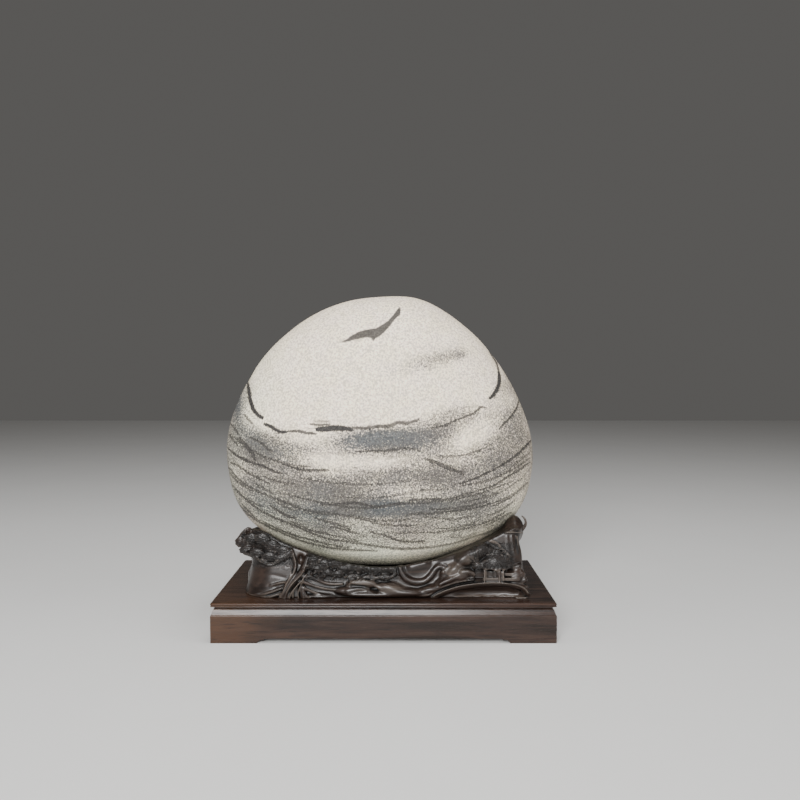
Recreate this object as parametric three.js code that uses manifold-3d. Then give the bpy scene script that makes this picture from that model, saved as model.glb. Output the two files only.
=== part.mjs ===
// A natural river stone resting in its carved wooden seat on a low framed plinth.
// Millimetres, +Z up. The front faces -Y and the origin is the centre of the plinth's footprint.
import * as THREE from 'three';
import { mergeVertices } from 'three/addons/utils/BufferGeometryUtils.js';
import Module from 'manifold-3d';

const wasm = await Module();
wasm.setup();

// Driving dimensions
const GAP = 0.3;

const STONE_CENTRE = new THREE.Vector3(-8, 0, 250);
const STONE_HALF_DEPTH = 118;
const STONE_FULLNESS = 2.2;
// Front outline: distance from the centre every 15 degrees, anticlockwise from +X
const STONE_RADII = [
  200, 189, 182, 180, 180, 182, 178, 177, 177, 178, 182, 188,
  199, 207, 207, 195, 183, 180, 178, 181, 188, 201, 212, 210,
];
const STONE_MERIDIANS = 48;
const STONE_RINGS = 26;

const PLINTH_LENGTH = 420;
const PLINTH_DEPTH = 220;
const PLINTH_HEIGHT = 49;
const BOARD_THICKNESS = 6;
const BOARD_EDGE_ROUND = 1.4;
const APRON_THICKNESS = 14;
const APRON_ARRIS_HEIGHT = 33.5;
const WAIST_RECESS = 3.2;
const LONG_FOOT = 56;
const SHORT_FOOT = 40;
const FOOT_HEIGHT = 5.5;
const FOOT_CURVE = 10;
const FOOT_CHAMFER = 0.8;
const MITRE_TRIM = 0.22;

const SEAT_HALF_LENGTH = 178;
const SEAT_HALF_DEPTH = 86;
const SEAT_BOTTOM = PLINTH_HEIGHT + GAP;
const SEAT_REACH = 146;
const SEAT_LEAN = 0.2;
const SEAT_PINCH = 0.05;
const SEAT_CORNERS = { frontLeft: 36, frontRight: 12, backRight: 30, backLeft: 30 };
const SOCKET_GAP = 0.4;
// Height of the seat's rim along X, low in the middle and high where it cradles the two ends
const RIM_LINE = [
  [-184, 124], [-172, 132], [-150, 129], [-128, 117], [-94, 104], [-50, 92], [-5, 86],
  [45, 91], [94, 104], [127, 117], [150, 128], [166, 133], [184, 131],
];

const STONE_COLOUR = 0xcfcbc2;
const WOOD_COLOUR = 0x3a2b26;

// Solids
function toManifold(geometry) {
  const plain = geometry.clone();
  plain.deleteAttribute('normal');
  plain.deleteAttribute('uv');
  const merged = mergeVertices(plain, 1e-4);
  return new wasm.Manifold(new wasm.Mesh({
    numProp: 3,
    vertProperties: new Float32Array(merged.attributes.position.array),
    triVerts: new Uint32Array(merged.index.array),
  }));
}

function toGeometry(solid) {
  const mesh = solid.getMesh();
  const geometry = new THREE.BufferGeometry();
  geometry.setAttribute('position', new THREE.BufferAttribute(mesh.vertProperties, 3));
  geometry.setIndex(new THREE.BufferAttribute(mesh.triVerts, 1));
  geometry.computeVertexNormals();
  return geometry;
}

function joined(solids) {
  return solids.reduce((whole, solid) => whole.add(solid));
}

// Extrudes an outline drawn in XZ along Y, between nearY and farY
function alongY(shape, nearY, farY, curveSegments = 8) {
  const geometry = new THREE.ExtrudeGeometry(shape, {
    depth: farY - nearY,
    bevelEnabled: false,
    curveSegments,
  });
  geometry.rotateX(Math.PI / 2);
  geometry.translate(0, farY, 0);
  return geometry;
}

function blob([x, y, z], [halfX, halfY, halfZ], tilt = 0) {
  const geometry = new THREE.SphereGeometry(1, 9, 6);
  geometry.scale(halfX, halfY, halfZ);
  geometry.rotateY(tilt);
  geometry.translate(x, y, z);
  return toManifold(geometry);
}

function limb(points, radius, steps = points.length * 2) {
  const section = new THREE.Shape().absarc(0, 0, radius, 0, 2 * Math.PI);
  const route = new THREE.CatmullRomCurve3(points.map(([x, y, z]) => new THREE.Vector3(x, y, z)));
  return toManifold(new THREE.ExtrudeGeometry(section, {
    extrudePath: route,
    steps,
    bevelEnabled: false,
    curveSegments: 4,
  }));
}

// Stone: a flattened pebble whose front outline follows STONE_RADII
function outlineRadius(angle) {
  const count = STONE_RADII.length;
  const turn = ((angle / (2 * Math.PI)) % 1 + 1) % 1;
  const place = turn * count;
  const index = Math.floor(place) % count;
  const t = place - Math.floor(place);
  const [a, b, c, d] = [-1, 0, 1, 2].map((step) => STONE_RADII[(index + step + count) % count]);
  const bend = (2 * a - 5 * b + 4 * c - d) * t * t + (3 * b - a - 3 * c + d) * t * t * t;
  return b + 0.5 * ((c - a) * t + bend);
}

function stoneGeometry(growth) {
  const geometry = new THREE.SphereGeometry(1, STONE_MERIDIANS, STONE_RINGS);
  const position = geometry.attributes.position;
  for (let i = 0; i < position.count; i += 1) {
    const depth = THREE.MathUtils.clamp(position.getY(i), -1, 1);
    const spread = Math.sqrt(1 - depth * depth);
    const angle = Math.atan2(position.getZ(i), position.getX(i));
    const norm = (spread ** STONE_FULLNESS + Math.abs(depth) ** STONE_FULLNESS)
      ** (1 / STONE_FULLNESS);
    const radius = (outlineRadius(angle) + growth) * spread / norm;
    position.setXYZ(
      i,
      STONE_CENTRE.x + radius * Math.cos(angle),
      STONE_CENTRE.y + (STONE_HALF_DEPTH + growth) * depth / norm,
      STONE_CENTRE.z + radius * Math.sin(angle),
    );
  }
  return geometry;
}

// Plinth: a thin board on four mitred rails with a hollowed waist and bracket feet
function boardGeometry() {
  const halfLength = PLINTH_LENGTH / 2 - BOARD_EDGE_ROUND;
  const halfDepth = PLINTH_DEPTH / 2 - BOARD_EDGE_ROUND;
  const plan = new THREE.Shape()
    .moveTo(-halfLength, -halfDepth)
    .lineTo(halfLength, -halfDepth)
    .lineTo(halfLength, halfDepth)
    .lineTo(-halfLength, halfDepth)
    .closePath();
  const geometry = new THREE.ExtrudeGeometry(plan, {
    depth: BOARD_THICKNESS - 2 * BOARD_EDGE_ROUND,
    bevelThickness: BOARD_EDGE_ROUND,
    bevelSize: BOARD_EDGE_ROUND,
    bevelSegments: 3,
  });
  geometry.translate(0, 0, PLINTH_HEIGHT - BOARD_THICKNESS + BOARD_EDGE_ROUND);
  return geometry;
}

function railGeometry(length, outerFace, foot) {
  const innerFace = outerFace - APRON_THICKNESS;
  const neck = outerFace - WAIST_RECESS;
  const top = PLINTH_HEIGHT - BOARD_THICKNESS - GAP;
  // Section across the rail, with X as the distance out from the plinth's middle
  const section = new THREE.Shape()
    .moveTo(innerFace, 0)
    .lineTo(outerFace - FOOT_CHAMFER, 0)
    .lineTo(outerFace, FOOT_CHAMFER)
    .lineTo(outerFace, APRON_ARRIS_HEIGHT)
    .quadraticCurveTo(neck, APRON_ARRIS_HEIGHT + 1.5, neck, top)
    .lineTo(innerFace, top)
    .closePath();
  const bar = new THREE.ExtrudeGeometry(section, {
    depth: length,
    bevelEnabled: false,
    curveSegments: 6,
  });
  bar.rotateX(Math.PI / 2);
  bar.translate(0, length / 2, 0);
  bar.rotateZ(-Math.PI / 2);

  const end = length / 2 - MITRE_TRIM;
  const plan = new THREE.Shape()
    .moveTo(-end - 1, -outerFace - 1)
    .lineTo(end + 1, -outerFace - 1)
    .lineTo(end - APRON_THICKNESS - 1, -innerFace + 1)
    .lineTo(-end + APRON_THICKNESS + 1, -innerFace + 1)
    .closePath();
  const mitres = new THREE.ExtrudeGeometry(plan, { depth: PLINTH_HEIGHT + 2, bevelEnabled: false });
  mitres.translate(0, 0, -1);

  const half = length / 2 - foot;
  const gap = new THREE.Shape()
    .moveTo(-half, -1)
    .lineTo(half, -1)
    .lineTo(half, 0)
    .quadraticCurveTo(half - 1, FOOT_HEIGHT, half - FOOT_CURVE, FOOT_HEIGHT)
    .lineTo(-half + FOOT_CURVE, FOOT_HEIGHT)
    .quadraticCurveTo(-half + 1, FOOT_HEIGHT, -half, 0)
    .closePath();
  const underside = alongY(gap, -outerFace - 1, -innerFace + 1, 5);
  return toGeometry(toManifold(bar).intersect(toManifold(mitres)).subtract(toManifold(underside)));
}

// Seat: a block with a dished top that fits the stone, carved in relief all round
function seatPlan() {
  const { frontLeft, frontRight, backRight, backLeft } = SEAT_CORNERS;
  const x = SEAT_HALF_LENGTH;
  const y = SEAT_HALF_DEPTH;
  const quarter = Math.PI / 2;
  return new THREE.Shape()
    .moveTo(-x + frontLeft, -y)
    .lineTo(x - frontRight, -y)
    .absarc(x - frontRight, -y + frontRight, frontRight, -quarter, 0)
    .lineTo(x, y - backRight)
    .absarc(x - backRight, y - backRight, backRight, 0, quarter)
    .lineTo(-x + backLeft, y)
    .absarc(-x + backLeft, y - backLeft, backLeft, quarter, 2 * quarter)
    .lineTo(-x, -y + frontLeft)
    .absarc(-x + frontLeft, -y + frontLeft, frontLeft, 2 * quarter, 3 * quarter);
}

function seatBlock() {
  const reach = SEAT_REACH - SEAT_BOTTOM;
  const loaf = new THREE.ExtrudeGeometry(seatPlan(), {
    depth: reach,
    steps: 4,
    bevelEnabled: false,
    curveSegments: 4,
  });
  const position = loaf.attributes.position;
  for (let i = 0; i < position.count; i += 1) {
    const rise = position.getZ(i) / reach;
    position.setX(i, position.getX(i) * (1 - SEAT_PINCH * Math.sin(Math.PI * rise)));
    position.setY(i, position.getY(i) * (1 - SEAT_LEAN * rise));
  }
  loaf.translate(0, 0, SEAT_BOTTOM);

  const rim = new THREE.SplineCurve(RIM_LINE.map(([x, z]) => new THREE.Vector2(x, z)));
  const edge = rim.getPoints(24);
  const front = new THREE.Shape([
    new THREE.Vector2(-200, SEAT_BOTTOM - 1),
    new THREE.Vector2(-200, edge[0].y),
    ...edge,
    new THREE.Vector2(200, edge[edge.length - 1].y),
    new THREE.Vector2(200, SEAT_BOTTOM - 1),
  ]);
  return toManifold(loaf).intersect(toManifold(alongY(front, -100, 100)));
}

// Pine at the front left: foliage in flat overlapping clumps on a twisted trunk
function pine() {
  const clumps = [
    [-173, -52, 122, 12, 14, 11],
    [-155, -68, 119, 15, 11, 10],
    [-131, -72, 110, 16, 10, 9],
    [-170, -62, 108, 9, 10, 7],
    [-156, -76, 106, 11, 9, 6],
    [-140, -81, 101, 12, 8, 6],
    [-122, -78, 104, 12, 8, 7],
    [-88, -77, 95, 10, 8, 6],
    [-75, -81, 88, 9, 7, 5],
    [-63, -77, 93, 10, 8, 6],
    [-82, -83, 81, 7, 6, 5],
    [-57, -82, 84, 8, 6, 5],
  ].map(([x, y, z, halfX, halfY, halfZ]) => blob([x, y, z], [halfX, halfY, halfZ]));
  const limbs = [
    limb([[-103, -86, 54], [-107, -85, 68], [-106, -83, 80], [-99, -80, 94], [-93, -75, 104]], 6),
    limb([[-106, -85, 70], [-113, -82, 86], [-121, -78, 102]], 3.5),
    limb([[-104, -86, 62], [-118, -86, 58], [-134, -86, 54], [-150, -84, 52]], 3.5),
    limb([[-104, -86, 58], [-112, -89, 53], [-118, -90, 50]], 3.5),
    limb([[-106, -86, 74], [-92, -86, 73], [-76, -85, 69], [-54, -85, 65], [-44, -84, 60]], 3.5),
  ];
  return [...clumps, ...limbs];
}

// Row of scrolled clouds below the middle of the rim, and the curling wave beside it
function cloudsAndWave() {
  const clouds = [
    [-45, -77, 87, 9],
    [-31, -76, 89, 9],
    [-16, -77, 86, 10],
    [-2, -76, 88, 9],
    [10, -77, 84, 8],
    [-30, -82, 79, 8],
    [-47, -83, 76, 7],
  ].map(([x, y, z, half]) => blob([x, y, z], [half, 7, half * 0.7]));
  const wave = limb([
    [25, -77, 90], [21, -81, 79], [30, -83, 70], [44, -83, 70],
    [56, -81, 80], [66, -79, 87], [74, -80, 83], [70, -82, 76],
  ], 4);
  const rocks = [
    blob([-22, -80, 62], [30, 10, 9]),
    blob([24, -80, 58], [34, 9, 7]),
    blob([92, -66, 93], [36, 12, 10], -0.4),
    blob([74, -78, 66], [24, 9, 7], -0.35),
  ];
  return [...clouds, wave, ...rocks];
}

// Thatched pavilion above a bridge at the front right, under a rocky ridge
function pavilionAndBridge() {
  const roof = new THREE.ConeGeometry(22, 17, 14);
  roof.rotateX(Math.PI / 2);
  roof.scale(1, 0.5, 1);
  roof.translate(136, -77, 93);
  const wall = new THREE.BoxGeometry(24, 12, 16);
  wall.translate(136, -78, 78);
  const deck = limb([
    [56, -85, 52], [76, -85, 58], [94, -84, 63], [113, -84, 66], [140, -84, 67], [168, -82, 65],
  ], 3.5);
  const bank = limb([[46, -84, 56], [64, -84, 63], [82, -82, 69], [100, -81, 74], [118, -80, 76]], 2.6);
  const ridge = limb([[122, -66, 122], [133, -68, 120], [146, -71, 113], [160, -75, 104]], 3.5);
  const rocks = [
    blob([152, -78, 60], [24, 8, 9]),
    blob([112, -80, 55], [26, 7, 6]),
    blob([116, -77, 88], [9, 7, 6]),
    blob([167, -72, 84], [8, 9, 14]),
    blob([170, -56, 118], [9, 10, 14]),
  ];
  const curl = limb([[166, -56, 128], [176, -54, 131], [180, -50, 137], [176, -46, 143]], 2.8);
  return [toManifold(roof), toManifold(wall), deck, bank, ridge, ...rocks, curl];
}

// Plain rocks under a few clouds on the back
function backRelief() {
  const rocks = [
    [-150, 66, 84, 22, 12, 34],
    [-112, 76, 72, 26, 10, 22],
    [-62, 78, 64, 30, 9, 15],
    [0, 78, 60, 36, 9, 11],
    [58, 78, 65, 30, 9, 15],
    [110, 74, 74, 28, 11, 24],
    [150, 66, 86, 22, 12, 34],
  ].map(([x, y, z, halfX, halfY, halfZ]) => blob([x, y, z], [halfX, halfY, halfZ]));
  const clouds = [-84, -56, -28, 0, 28, 56, 84].map((x) => {
    const rise = (x / 84) ** 2;
    return blob([x, 75 - 3 * rise, 83 + 16 * rise], [16, 7, 6.5]);
  });
  return [...rocks, ...clouds];
}

function seatGeometry() {
  const envelope = new THREE.BoxGeometry(380, 190, 120);
  envelope.translate(0, 0, SEAT_BOTTOM + 60);
  const carved = joined([
    seatBlock(),
    ...pine(),
    ...cloudsAndWave(),
    ...pavilionAndBridge(),
    ...backRelief(),
  ]);
  const socket = toManifold(stoneGeometry(SOCKET_GAP));
  return toGeometry(carved.intersect(toManifold(envelope)).subtract(socket));
}

// Scene graph
const stoneFinish = { color: STONE_COLOUR, roughness: 0.62, metalness: 0 };
const woodFinish = { color: WOOD_COLOUR, roughness: 0.32, metalness: 0 };

function piece(name, geometry, finish) {
  const mesh = new THREE.Mesh(geometry, new THREE.MeshStandardMaterial(finish));
  mesh.name = name;
  return mesh;
}

const viewingStone = new THREE.Group();
viewingStone.add(piece('stone', stoneGeometry(0), stoneFinish));
viewingStone.add(piece('seat', seatGeometry(), woodFinish));
viewingStone.add(piece('plinth_board', boardGeometry(), woodFinish));

const rails = [
  { name: 'apron_front', long: true, turn: 0 },
  { name: 'apron_right', long: false, turn: Math.PI / 2 },
  { name: 'apron_back', long: true, turn: Math.PI },
  { name: 'apron_left', long: false, turn: -Math.PI / 2 },
];
for (const { name, long, turn } of rails) {
  const geometry = long
    ? railGeometry(PLINTH_LENGTH, PLINTH_DEPTH / 2, LONG_FOOT)
    : railGeometry(PLINTH_DEPTH, PLINTH_LENGTH / 2, SHORT_FOOT);
  const rail = piece(name, geometry, woodFinish);
  rail.rotation.z = turn;
  viewingStone.add(rail);
}

export default viewingStone;
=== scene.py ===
import math

import bpy
import numpy as np
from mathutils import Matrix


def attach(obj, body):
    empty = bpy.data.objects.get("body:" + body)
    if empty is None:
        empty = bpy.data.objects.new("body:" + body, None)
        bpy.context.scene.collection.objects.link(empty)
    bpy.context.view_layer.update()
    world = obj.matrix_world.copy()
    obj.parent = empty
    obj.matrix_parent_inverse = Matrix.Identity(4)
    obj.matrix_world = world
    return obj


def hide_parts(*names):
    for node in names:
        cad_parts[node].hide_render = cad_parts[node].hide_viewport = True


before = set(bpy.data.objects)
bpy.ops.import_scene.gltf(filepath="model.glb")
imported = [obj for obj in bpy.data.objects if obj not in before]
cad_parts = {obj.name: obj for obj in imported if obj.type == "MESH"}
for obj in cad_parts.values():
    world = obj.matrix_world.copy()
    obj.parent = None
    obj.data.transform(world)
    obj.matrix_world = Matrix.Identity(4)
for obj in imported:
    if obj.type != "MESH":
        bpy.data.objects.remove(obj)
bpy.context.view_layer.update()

import openvdb
from mathutils import Vector

# A river stone with ink-like bedding lines, in its carved seat on a low plinth.
# Lengths here are millimetres, and MM turns them into Blender's metres.
MM = 0.001

# Camera: the photograph's viewing point, looking along +Y and slightly down
FOCAL_PX = 800.0
IMAGE_PX = 800.0
HORIZON_PX = 368.0
CAMERA_PLACE = np.array([20.0, -1066.9, 333.5])
PITCH = math.atan((IMAGE_PX / 2 - HORIZON_PX) / FOCAL_PX)

# Stone: the solid's driving values, up to 4 mm fuller on the lower flanks
STONE_CENTRE = np.array([-8.0, 0.0, 250.0])
STONE_HALF_DEPTH = 118.0
STONE_FULLNESS = 2.2
# Front outline: distance from the centre every 15 degrees, anticlockwise from +X
STONE_RADII = np.array([
    200, 189, 182, 180, 180, 182, 178, 177, 177, 178, 182, 188,
    199, 207, 210, 199, 186, 180, 178, 181, 188, 201, 214, 210,
], dtype=float)
STONE_CELLS = 122
FRONT_CROWDING = 0.25
# Unevenness above the socket, in millimetres: the dip above the cap's edge and how far up it fades,
# broad and small lumps, and how far the skin lies inside the driving shape
CAP_DIP = 0.9
CAP_DIP_FADE = 25.0
BROAD_LUMPS = 0.7
SMALL_LUMPS = 0.25
SKIN_INSET = 0.6

# Bedding: the plane where the pale cap ends, through this point and with these slopes
BEDDING_POINT = np.array([-63.0, 0.0, 335.0])
BEDDING_RISE = 0.1125
BEDDING_TILT = 0.715
BEDDING_SLANT = math.hypot(1.0, BEDDING_RISE, BEDDING_TILT)

# Plinth and seat
PLINTH_LENGTH = 420.0
PLINTH_DEPTH = 220.0
PLINTH_HEIGHT = 49.0
BOARD_THICKNESS = 6.0
APRON_THICKNESS = 14.0
APRON_ARRIS_HEIGHT = 33.5
WAIST_RECESS = 3.2
LONG_FOOT = 56.0
SHORT_FOOT = 40.0
FOOT_HEIGHT = 5.5
FOOT_NOTCH = 9.0
GAP = 0.3

SEAT_HALF_LENGTH = 178.0
SEAT_HALF_DEPTH = 86.0
SEAT_BOTTOM = PLINTH_HEIGHT + GAP
SEAT_REACH = 146.0
SEAT_LEAN = 0.2
SEAT_PINCH = 0.05
LEFT_CORNER = 36.0
SOCKET_GAP = 0.5
RIM_LINE = np.array([
    (-184, 124), (-172, 132), (-150, 129), (-128, 117), (-94, 104), (-50, 92), (-5, 86),
    (45, 91), (94, 104), (127, 117), (150, 128), (166, 133), (184, 131),
], dtype=float)
RIM_DROP = 0.27
SEAT_VOXEL = 0.9
CLAY_SPACE = ((-192, -99, 45), (192, 99, 149))
SEAT_SPACE = ((-190, -98, 40), (190, 98, 150))
FAR = 20.0
SEAT_TRIANGLES = 192_000
# The carved front begins here along Y, and is thinned this much compared with the rest
CARVED_FRONT = -45.0
FRONT_THINNING = 0.35


# Shared helpers
def smoothstep(low, high, value):
    t = np.clip((value - low) / (high - low), 0.0, 1.0)
    return t * t * (3 - 2 * t)


def catmull_rom(a, b, c, d, t):
    """The place at t between b and c on the smooth curve through all four."""
    bend = (2 * a - 5 * b + 4 * c - d) * t ** 2 + (3 * b - a - 3 * c + d) * t ** 3
    return b + 0.5 * ((c - a) * t + bend)


def smooth_curve(points, steps=6):
    """Points along the Catmull-Rom curve through the given points."""
    points = np.asarray(points, dtype=float)
    padded = np.vstack([2 * points[0] - points[1], points, 2 * points[-1] - points[-2]])
    t = np.linspace(0, 1, steps, endpoint=False)[:, None]
    pieces = [catmull_rom(*four, t) for four in zip(padded, padded[1:], padded[2:], padded[3:])]
    return np.vstack(pieces + [points[-1:]])


def waves(points, wavelength, seed):
    """Smooth random values of about -1 to 1, alike over roughly one wavelength."""
    count = 14
    random = np.random.default_rng(seed)
    directions = random.normal(size=(count, 3))
    directions /= np.linalg.norm(directions, axis=1)[:, None]
    lengths = wavelength * random.uniform(0.7, 1.5, count)
    phases = random.uniform(0, 2 * math.pi, count)
    turns = points @ (directions / lengths[:, None]).T * 2 * math.pi + phases
    return np.sin(turns).sum(axis=1) / math.sqrt(count / 2) * 0.6


def new_object(name, vertices, faces):
    """A smooth-shaded Blender object from points in millimetres."""
    mesh = bpy.data.meshes.new(name)
    mesh.from_pydata(np.asarray(vertices) * MM, [], faces)
    mesh.validate()
    mesh.update()
    mesh.shade_smooth()
    piece = bpy.data.objects.new(name, mesh)
    bpy.context.scene.collection.objects.link(piece)
    return piece


def set_attribute(piece, name, values):
    layer = piece.data.attributes.new(name, "FLOAT", "POINT")
    layer.data.foreach_set("value", np.asarray(values, dtype=np.float32))


def vertex_values(piece, name):
    """A mesh's vertex places ("co") or normals, one row each."""
    values = np.empty(len(piece.data.vertices) * 3)
    piece.data.vertices.foreach_get(name, values)
    return values.reshape(-1, 3)


def project(points):
    """Where points in the frame fall in the photograph, in pixels."""
    across, deep, up = (points - CAMERA_PLACE).T
    distance = deep * math.cos(PITCH) - up * math.sin(PITCH)
    height = deep * math.sin(PITCH) + up * math.cos(PITCH)
    centre = IMAGE_PX / 2
    return np.stack([centre + FOCAL_PX * across / distance, centre - FOCAL_PX * height / distance], 1)


RIM_CURVE = smooth_curve(RIM_LINE, 8)


# Node materials
class Shader:
    """Builds one node material with short calls."""

    def __init__(self, name):
        self.material = bpy.data.materials.new(name)
        self.material.use_nodes = True
        self.tree = self.material.node_tree
        self.surface = self.tree.nodes["Principled BSDF"]

    def node(self, kind, inputs=(), **settings):
        made = self.tree.nodes.new(kind)
        for key, value in settings.items():
            setattr(made, key, value)
        for key, value in dict(inputs).items():
            self.feed(made.inputs[key], value)
        return made

    def feed(self, socket, value):
        """Links a socket or sets a value; a colour is given as red, green and blue."""
        if isinstance(value, bpy.types.NodeSocket):
            self.tree.links.new(value, socket)
        elif socket.type == "RGBA":
            socket.default_value = (*value, 1)
        else:
            socket.default_value = value

    def finished(self, values):
        """Feeds the surface's own sockets and gives the material."""
        for name, value in values.items():
            self.feed(self.surface.inputs[name], value)
        return self.material

    def math(self, operation, first, second=0.0):
        made = self.node("ShaderNodeMath", operation=operation)
        self.feed(made.inputs[0], first)
        self.feed(made.inputs[1], second)
        return made.outputs[0]

    def times(self, first, second):
        return self.math("MULTIPLY", first, second)

    def plus(self, first, second):
        return self.math("ADD", first, second)

    def larger(self, first, second):
        return self.math("MAXIMUM", first, second)

    def vector(self, operation, first, second):
        made = self.node("ShaderNodeVectorMath", operation=operation)
        self.feed(made.inputs[0], first)
        self.feed(made.inputs[1], second)
        return made.outputs["Value" if operation == "DOT_PRODUCT" else "Vector"]

    def millimetres(self):
        place = self.node("ShaderNodeTexCoord").outputs["Object"]
        return self.vector("MULTIPLY", place, (1 / MM,) * 3)

    def attribute(self, name):
        return self.node("ShaderNodeAttribute", attribute_name=name).outputs["Fac"]

    def noise(self, place, size, detail=2.0, roughness=0.55, distortion=0.0):
        """Noise whose lumps are about that size in the units of place."""
        made = self.node("ShaderNodeTexNoise", {
            "Vector": place, "Scale": 1 / size, "Detail": detail,
            "Roughness": roughness, "Distortion": distortion,
        })
        return made.outputs["Fac"]

    def ramp(self, value, low, high, start=0.0, end=1.0):
        """Runs smoothly from start to end as value goes from low to high."""
        made = self.node("ShaderNodeMapRange", {
            "Value": value, "From Min": low, "From Max": high, "To Min": start, "To Max": end,
        }, interpolation_type="SMOOTHSTEP")
        return made.outputs[0]

    def mix(self, amount, first, second):
        """Blends two colours, in the places where the mix node keeps its colour sockets."""
        made = self.node("ShaderNodeMix", {0: amount, 6: first, 7: second}, data_type="RGBA")
        return made.outputs[2]

    def bump(self, height, distance, strength=1.0, under=None):
        sizes = {"Height": height, "Distance": distance * MM, "Strength": strength}
        made = self.node("ShaderNodeBump", sizes)
        if under is not None:
            self.feed(made.inputs["Normal"], under)
        return made.outputs["Normal"]


# Stone surface
def outline_radius(angle):
    """The front outline's distance from the centre at an angle."""
    place = (angle / (2 * math.pi)) % 1.0 * len(STONE_RADII)
    index = np.floor(place).astype(int)
    four = (STONE_RADII[(index + step) % len(STONE_RADII)] for step in (-1, 0, 1, 2))
    return catmull_rom(*four, place - index)


def cube_sphere(cells):
    """Unit directions and outward quads of a cube's grid blown up to a sphere."""
    steps = np.tan(np.linspace(-math.pi / 4, math.pi / 4, cells + 1))
    a, b = np.meshgrid(steps, steps, indexing="ij")
    index = np.arange((cells + 1) ** 2).reshape(cells + 1, cells + 1)
    corners = (index[:-1, :-1], index[1:, :-1], index[1:, 1:], index[:-1, 1:])
    quads = np.stack(corners, -1).reshape(-1, 4)
    sheets, faces = [], []
    for axis in range(3):
        for side in (-1.0, 1.0):
            sheet = np.empty(a.shape + (3,))
            sheet[..., axis] = side
            sheet[..., (axis + 1) % 3] = a
            sheet[..., (axis + 2) % 3] = b
            faces.append((quads if side > 0 else quads[:, ::-1]) + len(sheets) * index.size)
            sheets.append(sheet.reshape(-1, 3))
    points = np.vstack(sheets)
    _, first, merged = np.unique(np.round(points * 1e5), axis=0, return_index=True, return_inverse=True)
    points = points[first]
    points /= np.linalg.norm(points, axis=1)[:, None]
    return points, merged.reshape(-1)[np.vstack(faces)]


def bedding_height(points):
    """Distance above the plane where the pale cap ends, across the bedding."""
    x, y, z = (points - BEDDING_POINT).T
    return (z - BEDDING_RISE * x - BEDDING_TILT * y) / BEDDING_SLANT


def stone_points(directions):
    """Places on the stone for unit directions, closer together in front."""
    tilt = np.arccos(np.clip(-directions[:, 1], -1, 1))
    crowded = tilt - FRONT_CROWDING * np.sin(tilt)
    spread = np.sin(crowded)
    depth = -np.cos(crowded)
    angle = np.arctan2(directions[:, 2], directions[:, 0])
    norm = (spread ** STONE_FULLNESS + np.abs(depth) ** STONE_FULLNESS) ** (1 / STONE_FULLNESS)
    radius = outline_radius(angle) * spread / norm
    offsets = np.stack([
        radius * np.cos(angle),
        STONE_HALF_DEPTH * depth / norm,
        radius * np.sin(angle),
    ], 1)
    points = STONE_CENTRE + offsets
    outward = offsets / np.linalg.norm(offsets, axis=1)[:, None]
    height = bedding_height(points) + 3 * waves(points, 90, 5)
    above_socket = smoothstep(120, 150, points[:, 2])
    dip = -CAP_DIP * smoothstep(-1.5, 1.5, height) * np.exp(-np.maximum(height, 0) / CAP_DIP_FADE)
    lumps = BROAD_LUMPS * waves(points, 120, 1) + SMALL_LUMPS * waves(points, 40, 2)
    return points + outward * (above_socket * (dip + lumps - SKIN_INSET))[:, None]


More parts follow.
